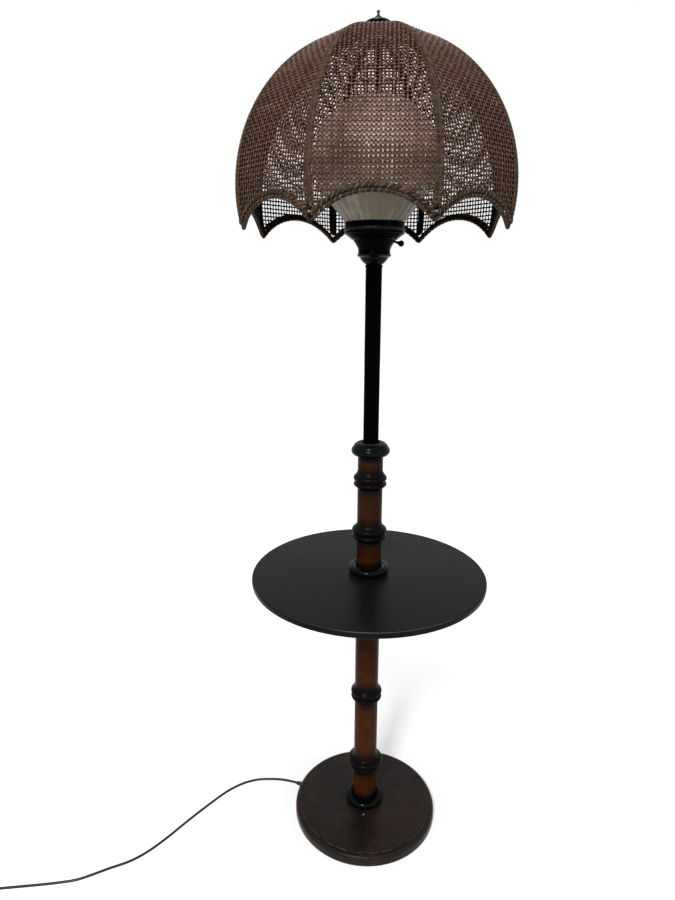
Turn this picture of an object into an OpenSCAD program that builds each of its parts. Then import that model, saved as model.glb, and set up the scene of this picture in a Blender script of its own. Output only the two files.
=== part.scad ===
// Floor lamp with a round table half way up: turned column, reeded tube, pleated glass
// globe and a scalloped eight-panel shade. Millimetres, +Z up, origin under the base.

/* [Base] */
// Widest diameter of the round base
base_d = 275; // [240:1:320]
// Height of the base above the floor, felt included
base_h = 24; // [20:0.5:34]
// Thickness of the felt under the base
felt_t = 2; // [1:0.5:4]
// Width of the moulded shoulder round the base's top
base_shoulder = 9; // [5:0.5:14]
// Diameter of the iron weight let into the underside
weight_d = 199.4; // [140:0.2:220]
// Depth of the pocket that holds the weight
pocket_depth = 11; // [7:0.5:14]

/* [Table] */
// Diameter of the table top
table_d = 420; // [340:1:480]
// Thickness of the table top
table_t = 11; // [8:0.5:18]
// Height of the table's upper face above the floor
table_z = 518.5; // [470:0.5:545]
// Radius of the table's rounded edges
table_edge = 2.5; // [1:0.25:4]

/* [Column] */
// Diameter of the plain stretches of the turned column
column_d = 44; // [40:0.5:50]
// Height of the top of the wooden column
column_top_z = 737; // [725:0.5:760]
// Diameter of the bead of a node that stands away from a plate
node_bead_d = 58.5; // [54:0.5:64]
// How much fatter the node just above the base or the table is
foot_node_extra = 4.5; // [0:0.5:8]
// Outside diameter of the ring collars on the base and the table
collar_d = 72.5; // [66:0.5:80]
// Height of the ring collars
collar_h = 15.6; // [9:0.1:18]
// Diameter of the drilled bore through the column
column_bore_d = 12; // [11:0.5:16]

/* [Tube] */
// Outside diameter of the reeded tube over its reeds
tube_d = 26.4; // [24:0.2:30]
// Number of reeds round the tube
reeds = 20; // [12:1:26]
// Height of the tube's upper end
tube_top_z = 1049; // [1000:1:1060]
// Outside diameter of the cap collar that the tube stands in
top_collar_d = 67; // [62:0.5:74]
// Outside diameter of the threaded pipe that runs through the lamp
pipe_d = 10; // [8:0.5:10.5]

/* [Glass holder] */
// Diameter of the holder's upright rim
holder_d = 95.2; // [92:0.2:104]
// Height of the upright rim above the holder's floor
holder_h = 47; // [45:0.5:52]
// Wall of the spun holder
holder_wall = 1.4; // [1:0.1:1.8]
// Number of vent holes in the holder's shoulder
vents = 8; // [4:4:8]
// Number of flutes in the little cup under the holder
cup_flutes = 24; // [12:2:32]
// Diameter of the switch's ball knob
knob_d = 9.6; // [7:0.2:12]
// Downward slope of the switch's stem, in degrees
knob_slope = 15; // [8:1:20]

/* [Glass globe] */
// Diameter of the globe
globe_d = 196; // [180:1:206]
// Thickness of the glass
glass_t = 3; // [2:0.25:4]
// Outside diameter of the globe's neck
neck_d = 87; // [84:0.5:88.5]
// Number of pleats round the globe's lower cone
pleats = 28; // [16:2:40]

/* [Shade] */
// Widest radius of the shade at its ribs
shade_r = 217; // [205:1:235]
// Radius of the curve of each rib, from the cap to the widest place
rib_arc_r = 231; // [225:1:260]
// Height of the shade's widest place
shade_wide_z = 1155; // [1148:1:1162]
// Radius of the curve that draws the skirt in below the widest place
skirt_arc_r = 210; // [150:5:400]
// Drop from the widest place to the tips of the scallops
skirt_drop = 60; // [45:0.5:66]
// Rise of each scallop's arch above the tips
arch_rise = 38.5; // [24:0.5:42]
// Turn of the shade about its rod, in degrees
shade_turn = -3; // [-22:1:22]
// Thickness of the woven cane sheet
cane_t = 2.4; // [1.6:0.2:3]
// Width of the openings that stand for the holes of the weave
weave_hole_w = 8; // [6:0.5:10]
// Height of those openings
weave_hole_h = 13; // [10:0.5:16]
// Width of each half of the flat strip that covers a seam
seam_half_w = 5.5; // [3:0.5:6]
// Width of the bound band along the scallops
rim_band_w = 14; // [10:0.5:17]
// Width of each flat steel rib of the frame
rib_w = 6; // [4:0.5:7]
// Thickness of the ribs and of the rim wire
rib_t = 3; // [2:0.25:3.5]
// Diameter of the domed cap on top of the shade
cap_d = 38.2; // [34:0.2:42]
// Diameter of the rod that carries the shade
rod_d = 6; // [5:0.25:6.25]

/* [Mains lead] */
// Diameter of the round mains lead
lead_d = 4.6; // [4:0.1:5]
// Gap between neighbouring turns of the coil
coil_gap = 0.6; // [0.5:0.1:1]
// Length of the plug's moulded body
plug_len = 32; // [28:1:40]

/* [Hidden] */

fine = 96;
slack = 0.1;      // between turned pieces that slip together
thread_fit = 0.05; // radial, between a thread and its nut
panels = 8;
half_gore = 180 / panels;

// An arc as points, from angle a0 to a1 about a centre
function arc(c, r, a0, a1, n = 8) =
    [for (i = [0:n]) c + r * [cos(a0 + (a1 - a0) * i / n), sin(a0 + (a1 - a0) * i / n)]];
function reversed(v) = [for (i = [len(v) - 1:-1:0]) v[i]];
function polar(r, a, z) = [r * cos(a), r * sin(a), z];

module revolve() rotate_extrude($fn = fine) children();

module ring(ro, ri, z, h) translate([0, 0, z]) difference() {
    cylinder(r = ro, h = h, $fn = fine);
    translate([0, 0, -1]) cylinder(r = ri, h = h + 2, $fn = fine);
}

module hex_nut(across_flats, bore_r, z, h) translate([0, 0, z]) difference() {
    cylinder(r = across_flats / 2 / cos(30), h = h, $fn = 6);
    translate([0, 0, -1]) cylinder(r = bore_r, h = h + 2, $fn = fine);
}

// ---- Base -------------------------------------------------------------------------
base_r = base_d / 2;
pipe_r = pipe_d / 2;
thread_r = pipe_r + thread_fit;
pocket_top_z = felt_t + pocket_depth;
weight_bore_r = 30;
lead_slot_w = 14;
lead_exit_a = 160;   // compass angle at which the lead leaves the base
lead_exit_z = 9.5;
lead_hole_r = 5;
sleeve_in = 12;      // length of the rubber sleeve inside the rim
sleeve_out = 12;     // and outside it
washer_t = 1.5;
nut_t = 6;

module base_felt() color("#2c3a2c") ring(base_r - 7, 18, 0, felt_t);

module base_profile() {
    quirk = 1.8;
    ovolo_r = base_shoulder - 2;
    top_r = base_r - base_shoulder;
    polygon(concat(
        [[thread_r + slack, base_h], [top_r, base_h], [top_r, base_h - quirk]],
        arc([base_r - ovolo_r, base_h - quirk - ovolo_r], ovolo_r, 90, 0, 6),
        arc([base_r - 3, felt_t + 3], 3, 0, -90, 4),
        [[weight_d / 2 + 0.3, felt_t], [weight_d / 2 + 0.3, pocket_top_z],
         [thread_r + slack, pocket_top_z]]));
}

module base() color("#241f1d") difference() {
    revolve() base_profile();
    rotate([0, 0, lead_exit_a]) translate([weight_d / 2 - 5, 0, lead_exit_z])
        rotate([0, 90, 0]) cylinder(r = lead_hole_r, h = base_r, $fn = 48);
}

module base_weight() color("#3b3a39") difference() {
    ring(weight_d / 2, weight_bore_r, felt_t, pocket_depth);
    rotate([0, 0, lead_exit_a]) translate([0, -lead_slot_w / 2, felt_t - 1])
        cube([weight_d, lead_slot_w, pocket_depth + 2]);
}

module base_washer() color("#8f8f8c") ring(14, thread_r + slack, pocket_top_z - washer_t, washer_t);
module base_nut() color("#8f8f8c")
    hex_nut(17, thread_r, pocket_top_z - washer_t - nut_t, nut_t);

module lead_sleeve() color("#171717") rotate([0, 0, lead_exit_a])
    translate([base_r - sleeve_in, 0, lead_exit_z]) rotate([0, 90, 0]) difference() {
        union() {
            cylinder(r = lead_hole_r - slack, h = sleeve_in, $fn = 48);
            translate([0, 0, sleeve_in])
                cylinder(r1 = lead_hole_r - slack, r2 = lead_d / 2 + 0.9, h = sleeve_out, $fn = 48);
        }
        translate([0, 0, -1]) cylinder(r = lead_d / 2 + 0.05, h = sleeve_in + sleeve_out + 2, $fn = 48);
    }

// The lead inside the base, from the sleeve's outer end to the cavity under the pipe
module inner_lead() color("#191614") rotate([0, 0, lead_exit_a])
    translate([16, 0, lead_exit_z]) rotate([0, 90, 0])
        cylinder(r = lead_d / 2, h = base_r + sleeve_out - 16, $fn = 32);

// ---- Column -----------------------------------------------------------------------
column_r = column_d / 2;
column_bore_r = column_bore_d / 2;
table_bottom_z = table_z - table_t;
node_flare = 16;     // from a bead up to where its flare leaves the column
node_tail = 22;      // from a bead down to where the column is plain again
bead_r = 5;
ring_r = 3.4;
foot_rise_upper = 82.5;  // bead of the foot node above the table
foot_rise_lower = 96;    // bead of the foot node above the base
head_drop = 40;          // bead of the top node below the column's top
lower_pitch = 164;       // bead to bead on the lower column
lower_pitch_foot = 153;

// Outline of one bamboo-style node, from top to bottom, about a bead at height z
function node_outline(z, bead, ring) =
    let (d = bead - column_r, s = (d * d + node_flare * node_flare) / (2 * d),
         a = atan2(node_flare, s - d))
    concat(
        arc([column_r + s - bead_r, z + node_flare], s - bead_r, 180, 180 + a, 7),
        arc([bead - bead_r, z], bead_r, a, -60, 7),
        [[bead - 3.3, z - 6.1], [bead - 3.3, z - 7.1]],
        arc([ring - ring_r, z - 11], ring_r, 62, -58, 6),
        arc([column_r + 8, z - node_tail], 8, 128, 180, 5));

module turned_column(z0, z1, nodes) difference() {
    revolve() polygon(concat(
        [[column_bore_r, z1], [column_r, z1]],
        [for (n = nodes) each node_outline(n[0], n[1], n[2])],
        [[column_r, z0], [column_bore_r, z0]]));
}

bead_node_r = node_bead_d / 2;
foot_bead_r = bead_node_r + foot_node_extra / 2;
lower_foot_z = base_h + foot_rise_lower;

module lower_column() color("#4a2c1a") turned_column(base_h, table_bottom_z, [
    [lower_foot_z + lower_pitch_foot + lower_pitch, bead_node_r, bead_node_r - 0.4],
    [lower_foot_z + lower_pitch_foot, bead_node_r, bead_node_r - 0.4],
    [lower_foot_z, foot_bead_r + 1.5, foot_bead_r - 1.5]]);

module upper_column() color("#4a2c1a") turned_column(table_z, column_top_z, [
    [column_top_z - head_drop, bead_node_r, bead_node_r - 0.3],
    [table_z + foot_rise_upper, foot_bead_r - 0.7, foot_bead_r - 0.7]]);

// Half-round ring round the column's foot, dished towards the column
module ring_collar(z, up = 1) translate([0, 0, z]) mirror([0, 0, up > 0 ? 0 : 1]) revolve()
    difference() {
        union() {
            translate([collar_d / 2 - collar_h / 2, collar_h / 2]) circle(r = collar_h / 2, $fn = 64);
            translate([column_r + slack, 0])
                square([collar_d / 2 - collar_h / 2 - column_r, collar_h * 0.66]);
        }
        translate([0, -1]) square([column_r + slack, collar_h + 2]);
    }

module base_collar() color("#101112") ring_collar(base_h);
module table_collar() color("#101112") ring_collar(table_z);
module table_flange() color("#101112") ring_collar(table_bottom_z, -1);

module table_top() color("#1d1e20") revolve() polygon(concat(
    [[thread_r + slack, table_z]],
    arc([table_d / 2 - table_edge, table_z - table_edge], table_edge, 90, 0, 4),
    arc([table_d / 2 - table_edge, table_bottom_z + table_edge], table_edge, 0, -90, 4),
    [[thread_r + slack, table_bottom_z]]));

// ---- Reeded tube ------------------------------------------------------------------
tube_r = tube_d / 2;
reed_r = 1.75;
tube_wall = 2.6;
socket_depth = 5;
top_collar_h = 24;
top_collar_top_z = column_top_z + top_collar_h;
tube_foot_z = top_collar_top_z - 4 - socket_depth;
moat_r = tube_r + 3;

module top_collar() color("#141415") difference() {
    revolve() {
        outer = top_collar_d / 2;
        translate([outer - 8.5, column_top_z + 9.2]) circle(r = 8.5, $fn = 64);
        translate([outer - 14.7, column_top_z + 11.5]) circle(r = 12.5, $fn = 64);
        translate([column_bore_r, column_top_z]) square([outer - 9 - column_bore_r, 15]);
        translate([column_bore_r, column_top_z]) square([8, top_collar_h - 4]);
    }
    translate([0, 0, column_top_z - 5]) cylinder(r = top_collar_d, h = 5, $fn = fine);
    translate([0, 0, -1]) cylinder(r = column_bore_r, h = top_collar_top_z, $fn = fine);
    translate([0, 0, tube_foot_z]) cylinder(r = tube_r + slack, h = 20, $fn = fine);
    translate([0, 0, top_collar_top_z - 4]) cylinder(r = moat_r, h = 20, $fn = fine);
}

module reeded_tube() color("#0c0c0d") translate([0, 0, tube_foot_z])
    linear_extrude(height = tube_top_z - tube_foot_z) difference() {
        union() {
            circle(r = tube_r - 1.3, $fn = fine);
            for (i = [0:reeds - 1]) rotate(360 * i / reeds)
                translate([tube_r - reed_r, 0]) circle(r = reed_r, $fn = 24);
        }
        circle(r = tube_r - tube_wall, $fn = fine);
    }

tube_ring_h = 3.5;
module tube_ring() color("#0c0c0d")
    ring(tube_r + 0.9, thread_r + slack, tube_top_z, tube_ring_h);

// ---- Fluted cup and glass holder --------------------------------------------------
cup_z = tube_top_z + tube_ring_h;
cup_h = 16.7;
holder_z = cup_z + cup_h;
holder_r = holder_d / 2;
holder_floor = 1.4;
waist_r = 25.5;
cup_arc_c = [-1.3, 24.6];
cup_arc_r = 27.7;

module fluted_cup() color("#0d0d0e") translate([0, 0, cup_z]) difference() {
    revolve() polygon(concat(
        [[thread_r + slack, 0]],
        arc(cup_arc_c, cup_arc_r, -62.5, -29.5, 8),
        [[waist_r + 1.7, cup_h - 3.2], [waist_r + 1.7, cup_h - 0.9], [waist_r + 0.6, cup_h],
         [thread_r + slack, cup_h]]));
    for (i = [0:cup_flutes - 1]) rotate([0, 0, 360 * i / cup_flutes])
        translate([12.4, 0, -0.8]) rotate([0, 45.5, 0]) cylinder(r = 1.15, h = 14.5, $fn = 16);
}

// Outer outline of the spun holder, from its floor to its rim
shoulder_z = 21.5;
function holder_outline(t) =
    let (r = holder_r - 47.6)
    concat(
        arc([waist_r + 12, 4.8], 12 + t, 197, 147, 6),
        [[r + 34 - t, shoulder_z - t * 0.3], [r + 37.2 - t, shoulder_z + 0.9],
         [r + 37.2 - t, shoulder_z + 2.4 + t * 0.3], [r + 40.4 - t, shoulder_z + 3.3 + t * 0.3],
         [r + 40.4 - t, shoulder_z + 4.8 + t * 0.3], [r + 43.6 - t, shoulder_z + 5.7 + t * 0.3],
         [r + 43.6 - t, shoulder_z + 7.2 + t * 0.3]],
        arc([holder_r - 3, shoulder_z + 10.4], 3 - t, -70, 0, 4));

knob_stem_r = 1.8;
knob_stem_z = 27.6;          // height of the stem's axis above the holder's floor, on the lamp's axis
cluster_z = holder_z + 6.8;
cluster_r = 17;
cluster_h = 26;
cluster_plate_r = 31.5;
cluster_plate_t = 3;
knob_reach = 44;             // from the lamp's axis to the ball's centre, along the stem

module along_stem(s) translate([0, 0, holder_z + knob_stem_z]) rotate([0, 90 + knob_slope, 0])
    translate([0, 0, s]) children();

module glass_holder() color("#0f0f10") difference() {
    translate([0, 0, holder_z]) revolve() polygon(concat(
        [[thread_r + slack, 0], [waist_r + 0.3, 0]], holder_outline(0),
        [[holder_r, holder_h], [holder_r - holder_wall, holder_h]],
        reversed(holder_outline(holder_wall)),
        [[waist_r - holder_wall - 0.6, holder_floor], [thread_r + slack, holder_floor]]));
    for (i = [0:vents - 1]) rotate([0, 0, 360 * (i + 0.5) / vents])
        translate([31.2, 0, holder_z + shoulder_z - 1.2]) rotate([0, 128, 0])
            translate([0, 0, -6]) cylinder(r = 2.2, h = 14, $fn = 24);
    along_stem(cluster_r + 6) cylinder(r = 3.2, h = 20, $fn = 32);
}

module holder_nut() color("#8f8f8c")
    hex_nut(16, thread_r, holder_z + holder_floor, cluster_z - holder_z - holder_floor);

module threaded_pipe() color("#9a9893")
    ring(pipe_r, pipe_r - 1.4, felt_t + 2.5, cluster_z + 8 - felt_t - 2.5);

// ---- Lamp cluster, switch and bulbs -----------------------------------------------
cluster_top_z = cluster_z + cluster_h;
rod_r = rod_d / 2;
socket_y = 22;
socket_r = 9;
socket_h = 24;
bulb_cap_r = 7;
bulb_cap_h = 23;
bulb_r = 16.8;
bulb_len = 92;

module lamp_cluster() color("#b08d4a") difference() {
    union() {
        translate([0, 0, cluster_z]) cylinder(r = 9, h = 6, $fn = fine);
        translate([0, 0, cluster_z + 4]) cylinder(r = cluster_r, h = cluster_h - 4, $fn = fine);
        translate([0, 0, cluster_top_z - cluster_plate_t])
            cylinder(r = cluster_plate_r, h = cluster_plate_t, $fn = fine);
    }
    translate([0, 0, cluster_z - 1]) cylinder(r = thread_r, h = 9, $fn = fine);
    translate([0, 0, cluster_top_z - 12]) cylinder(r = rod_r + thread_fit, h = 14, $fn = fine);
    along_stem(9) cylinder(r = knob_stem_r + 0.06, h = 20, $fn = 48);
}

module switch_bushing() color("#b08d4a") difference() {
    along_stem(0) difference() {
        cylinder(r = 4, h = cluster_r + 6, $fn = 48);
        translate([0, 0, -1]) cylinder(r = knob_stem_r + 0.06, h = cluster_r + 8, $fn = 48);
    }
    translate([0, 0, cluster_z]) cylinder(r = cluster_r + 0.02, h = cluster_h, $fn = fine);
}

module switch_knob() color("#0b0b0c") along_stem(0) {
    translate([0, 0, 10]) cylinder(r = knob_stem_r, h = knob_reach - 10, $fn = 48);
    translate([0, 0, knob_reach - knob_d / 2 - 2]) cylinder(r1 = knob_stem_r, r2 = 3, h = 3.4, $fn = 48);
    translate([0, 0, knob_reach]) sphere(r = knob_d / 2, $fn = 64);
}

module at_sockets() for (s = [-1, 1]) translate([0, s * socket_y, cluster_top_z]) children();

module candle_sockets() color("#1a1a1a") at_sockets() difference() {
    cylinder(r = socket_r, h = socket_h, $fn = 64);
    translate([0, 0, 2]) cylinder(r = bulb_cap_r + 0.2, h = socket_h, $fn = 64);
}

module bulb_caps() color("#b8b6ae") at_sockets()
    translate([0, 0, 2]) cylinder(r = bulb_cap_r, h = bulb_cap_h, $fn = 64);

// A flame-shaped bulb, blown thin
module bulbs() color("#f2efe6") at_sockets() translate([0, 0, 2 + bulb_cap_h]) rotate_extrude($fn = 64)
    difference() {
        bulb_outline(0);
        bulb_outline(1);
    }

module bulb_outline(t) polygon([
    [0, t > 0 ? -1 : 0], [bulb_cap_r - 0.4 - t, t > 0 ? -1 : 0], [11 - t, 9], [15 - t, 19],
    [bulb_r - t, 31], [bulb_r - 1 - t, 44], [12.4 - t, 58], [7.4 - t, 70],
    [3.4 - t, 79 - t], [0, bulb_len - 9 - 2 * t]]);

// ---- Glass globe ------------------------------------------------------------------
globe_r = globe_d / 2;
neck_r = neck_d / 2;
globe_foot_z = holder_z + shoulder_z + 8.2;
neck_h = 13.6;
belly_r = 60;        // radius of the curve between the equator and the cone
cone_a = 38.7;       // slope of the pleated cone from the vertical
globe_hole_r = 4.6;
// The equator stands where the cone, tangent to the belly's curve, starts at the neck
cone_top = [globe_r - belly_r + belly_r * cos(cone_a), -belly_r * sin(cone_a)];
cone_drop = (cone_top[0] - neck_r) / tan(cone_a);
globe_eq_z = globe_foot_z + neck_h + cone_drop - cone_top[1];
globe_top_z = globe_eq_z + globe_r;

function globe_outline(t) = concat(
    arc([0, 0], globe_r - t, asin(1) - asin(globe_hole_r / (globe_r - t)), 0, 20),
    arc([globe_r - belly_r, 0], belly_r - t, 0, -cone_a, 8),
    [[neck_r - t, cone_top[1] - cone_drop - t * tan(cone_a / 2)],
     [neck_r - t, globe_foot_z - globe_eq_z]]);

module glass_globe() color("#e9e4d6") translate([0, 0, globe_eq_z]) difference() {
    revolve() polygon(concat(globe_outline(0), reversed(globe_outline(glass_t))));
    // shallow flutes along the cone: they fade where the belly curves away
    for (i = [0:pleats - 1]) rotate([0, 0, 360 * (i + 0.5) / pleats])
        translate([neck_r, 0, cone_top[1] - cone_drop]) rotate([0, cone_a, 0])
            translate([1.1, 0, -2])
                cylinder(r1 = neck_r * 0.052, r2 = cone_top[0] * 0.052, h = cone_drop / cos(cone_a) + 16,
                         $fn = 24);
}

module globe_washer() color("#1c1c1c") ring(9, rod_r + slack, globe_top_z, 1.6);
module globe_nut() color("#b08d4a") hex_nut(11, rod_r + thread_fit, globe_top_z + 1.6, 4);

// ---- Shade frame ------------------------------------------------------------------
rib_centre_r = shade_r - rib_arc_r;       // the ribs' curve is centred beyond the axis
skirt_centre_r = shade_r - skirt_arc_r;
tip_z = shade_wide_z - skirt_drop;
skin = cane_t / 2;
rib_out = skin + rib_w / 2 * tan(half_gore) + 0.2;   // rib clears the panels that meet over it
rib_in = rib_out + rib_t;
hub_plate_r = 13;
hub_boss_r = 7.5;
panel_top_r = 16;
shade_top_a = acos((panel_top_r - rib_centre_r) / rib_arc_r);
skirt_a = asin(skirt_drop / skirt_arc_r);
function rib_height(r, off) =
    shade_wide_z + sqrt(pow(rib_arc_r - off, 2) - pow(r - rib_centre_r, 2));
hub_z = rib_height(hub_plate_r, rib_in);
hub_plate_t = rib_height(hub_plate_r, rib_out) - hub_z;
seam_t = 1.2;
cap_foot_z = rib_height(panel_top_r, -skin - seam_t) + 0.3;
cap_z = cap_foot_z + 5.1;              // underside of the cap's dome, over its foot

tip_half = (skirt_centre_r + skirt_arc_r * cos(skirt_a)) * sin(half_gore);
arch_r = (tip_half * tip_half + arch_rise * arch_rise) / (2 * arch_rise);
arch_z = tip_z + arch_rise - arch_r;
rim_lip = 2.4;
wire_w = 5;           // width of the rim's flat steel wire

module turned_shade() rotate([0, 0, shade_turn]) children();

// The shade's curve at a distance outside the cane's middle, as seen square to a panel
function gore_curve(off) = [for (p = concat(
    arc([rib_centre_r, shade_wide_z], rib_arc_r + off, shade_top_a, 0, 20),
    arc([skirt_centre_r, shade_wide_z], skirt_arc_r + off, -skirt_a / 3, -skirt_a, 2)))
    [p[0] * cos(half_gore), p[1]]];

// A layer of one gore, from one distance off the cane's middle to another
module gore_layer(from, to, seam_gap = 0) intersection() {
    rotate([90, 0, 0]) linear_extrude(height = 2 * tip_half + 60, center = true)
        polygon(concat(gore_curve(to), reversed(gore_curve(from))));
    translate([seam_gap / 2 / sin(half_gore), 0, tip_z - 20])
        linear_extrude(height = cap_z - tip_z + 40)
            polygon([[0, 0], [shade_r * 2, shade_r * 2 * tan(half_gore)],
                     [shade_r * 2, -shade_r * 2 * tan(half_gore)]]);
}

module arch_cylinder(r) translate([20, 0, arch_z]) rotate([0, 90, 0])
    cylinder(r = r, h = shade_r * 2, $fn = 180);

module at_gore(k) turned_shade() rotate([0, 0, k * 2 * half_gore]) children();

// A plain grid of openings through a gore, clear of its seams and of the bound edge
weave_rows = 12;
weave_top_a = 72;    // angle on the ribs' curve of the highest row, above the level
weave_step_a = 6.6;
weave_pitch = weave_hole_w * 2;
module weave_holes() for (i = [0:weave_rows - 1])
    let (a = weave_top_a - i * weave_step_a, r = rib_centre_r + rib_arc_r * cos(a),
         z = shade_wide_z + rib_arc_r * sin(a), low = z - weave_hole_h / 2,
         room = r * sin(half_gore) - seam_half_w - 2.5 - weave_hole_w / 2)
    for (j = [-5:5]) let (u = j * weave_pitch)
        if (abs(u) <= room
            && norm([max(abs(u) - weave_hole_w / 2, 0), low - arch_z]) > arch_r + rim_band_w + 2)
            translate([r * cos(half_gore), u, z]) rotate([0, -atan2(sin(a) * cos(half_gore), cos(a)), 0])
                cube([12, weave_hole_w, weave_hole_h], center = true);

module shade_panel(k) color(k % 2 == 0 ? "#6b4a38" : "#745040") at_gore(k) difference() {
    gore_layer(-skin, skin, 0.4);
    arch_cylinder(arch_r + rim_lip + slack);
    weave_holes();
}

// Flat strips that cover the seams, folded over the ridge between two panels
module seam_bindings() color("#6e6250") for (k = [0:panels - 1]) at_gore(k)
    for (s = [-1, 1]) difference() {
        intersection() {
            gore_layer(skin + slack, skin + seam_t, 0.1);
            mirror([0, s > 0 ? 0 : 1, 0]) rotate([0, 0, half_gore])
                translate([0, -seam_half_w, tip_z - 30])
                    cube([shade_r * 1.5, seam_half_w, cap_z - tip_z + 60]);
        }
        arch_cylinder(arch_r + rim_band_w + slack);
    }

// The bound edge: a band outside the cane, and a lip under it that holds the rim wire
module rim_binding() color("#5a4a38") for (k = [0:panels - 1]) at_gore(k) difference() {
    union() {
        intersection() {
            gore_layer(skin + slack, skin + seam_t + 0.4, 0.1);
            arch_cylinder(arch_r + rim_band_w);
        }
        intersection() {
            gore_layer(-skin - rib_t - 0.2, skin + seam_t + 0.4, 0.1);
            arch_cylinder(arch_r + rim_lip);
        }
    }
    arch_cylinder(arch_r);
}

module shade_rim_wire() color("#17120f") for (k = [0:panels - 1]) at_gore(k) difference() {
    intersection() {
        gore_layer(-skin - rib_t, -skin - slack, 0.1);
        arch_cylinder(arch_r + rim_lip + slack + wire_w);
    }
    arch_cylinder(arch_r + rim_lip + slack);
}

rib_foot_z = arch_z + sqrt(pow(arch_r + rim_lip + slack + wire_w, 2) - pow(tip_half - rib_w, 2)) + 0.5;

module arc_band(centre_r, arc_radius) translate([centre_r, shade_wide_z]) difference() {
    circle(r = arc_radius - rib_out, $fn = 180);
    circle(r = arc_radius - rib_in, $fn = 180);
}

module shade_ribs() color("#15110f") for (k = [0:panels - 1]) at_gore(k + 0.5)
    rotate([90, 0, 0]) linear_extrude(height = rib_w, center = true) {
        intersection() {
            arc_band(rib_centre_r, rib_arc_r);
            translate([hub_plate_r + 0.05, shade_wide_z]) square([shade_r, rib_arc_r]);
        }
        intersection() {
            arc_band(skirt_centre_r, skirt_arc_r);
            translate([shade_r / 2, rib_foot_z]) square([shade_r, shade_wide_z - rib_foot_z]);
        }
    }

module shade_top_ring() color("#8f8f8c") difference() {
    union() {
        translate([0, 0, hub_z]) cylinder(r = hub_plate_r, h = hub_plate_t, $fn = fine);
        translate([0, 0, hub_z]) cylinder(r = hub_boss_r, h = cap_foot_z - hub_z, $fn = fine);
    }
    translate([0, 0, hub_z - 1]) cylinder(r = rod_r + 0.08, h = 30, $fn = fine);
}

// ---- Rod, cap and finial ----------------------------------------------------------
finial_top_z = cap_z + 18.5;
finial_ball_r = 2.45;
cap_h = 6.1;
cap_top_z = cap_z + cap_h;
cap_foot_r = 16.4;    // its foot lies over the cane's upper ends
shank_r = 4.25;
rod_top_z = cap_top_z + 2.5;

module shade_rod() color("#2a2a2b") translate([0, 0, cluster_top_z - 11])
    cylinder(r = rod_r, h = rod_top_z - cluster_top_z + 11, $fn = fine);

module shade_rest_nut() color("#8f8f8c") hex_nut(11, rod_r + thread_fit, hub_z - 6, 6);

module shade_cap() color("#161616") revolve() polygon(concat(
    [[shank_r + slack, cap_foot_z], [cap_foot_r, cap_foot_z], [cap_foot_r, cap_foot_z + 1],
     [cap_foot_r - 4.5, cap_foot_z + 2], [cap_foot_r - 4.5, cap_z],
     [cap_d / 2 - 0.5, cap_z], [cap_d / 2, cap_z + 0.5], [cap_d / 2, cap_z + 1.6]],
    arc([cap_d / 2 - 17, cap_z - 22.7], 29.6, 56, 74, 6),
    [[6.6, cap_top_z], [shank_r + slack, cap_top_z]]));

module finial() color("#0b0b0c") difference() {
    revolve() {
        translate([0, cap_z + 0.8]) square([shank_r, cap_top_z - cap_z]);
        translate([0, cap_top_z]) polygon(concat(
            [[0, 0]], [[6.1, 0], [6.1, 0.6]], arc([1.9, 0.4], 4.2, 3, 80, 6),
            [[1.7, 5], [1.5, 5.5], [2.2, 6], [2.2, 6.4], [1.5, 6.9], [1.4, 8], [0, 8]]));
        translate([0, finial_top_z - finial_ball_r]) intersection() {
            circle(r = finial_ball_r, $fn = 48);
            translate([0, -5]) square([5, 10]);
        }
    }
    translate([0, 0, cap_z - 1]) cylinder(r = rod_r + thread_fit, h = rod_top_z - cap_z + 1.4, $fn = fine);
}

// ---- Mains lead -------------------------------------------------------------------
lead_r = lead_d / 2;
lead_lie_z = lead_r + 0.1;      // height of the lead's middle where it lies on the floor
sleeve_end_r = base_r + sleeve_out;
coil_centre = [-690, -230, 0];
coil_outer_r = 34;
coil_layers = 4;
coil_turns = 10.25;             // ends a quarter turn past where it began
coil_pitch = lead_d + coil_gap;
coil_run = coil_turns / coil_layers;
coil_start_a = 90;
coil_steps = 24;                // rings in each turn

// Chosen points along the free lead, after the two that leave the sleeve
lead_points = [
    [-172, 61, 7.6], [-198, 66, 4.2], [-226, 65, 2.7], [-255, 54, 2.4], [-284, 32, 2.4],
    [-314, -2, 2.4], [-346, -42, 2.4], [-376, -82, 2.4], [-402, -112, 2.4], [-429, -134, 2.4],
    [-464, -151, 2.4], [-500, -169, 2.4], [-520, -176, 2.4], [-560, -183, 2.4],
    [-598, -188, 2.4], [-638, -193, 2.4], [-664, -195.6, 2.4]];
lead_join = [-685, -196, 2.4];
// Points of the short tail from the top layer down to the plug
tail_points = [[-724, -246, 17.6], [-724, -256, 13.8], [-724, -265, 9], [-724, -271, 7.2], [-724, -275.4, 7]];
plug_at = [-724, -280, 7];

lead_route = concat(
    [polar(sleeve_end_r + 0.1, lead_exit_a, lead_exit_z), polar(sleeve_end_r + 7, lead_exit_a, lead_exit_z)],
    lead_points, [lead_join + [5, 0, 0], lead_join]);

function catmull(a, b, c, d, t) =
    0.5 * (2 * b + (c - a) * t + (2 * a - 5 * b + 4 * c - d) * t * t
           + (3 * b - a - 3 * c + d) * t * t * t);
function smooth_route(v, spacing) = concat(
    [for (i = [0:len(v) - 2])
        let (n = max(1, round(norm(v[i + 1] - v[i]) / spacing)))
        for (j = [0:n - 1])
            catmull(v[max(i - 1, 0)], v[i], v[i + 1], v[min(i + 2, len(v) - 1)], j / n)],
    [v[len(v) - 1]]);

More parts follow.
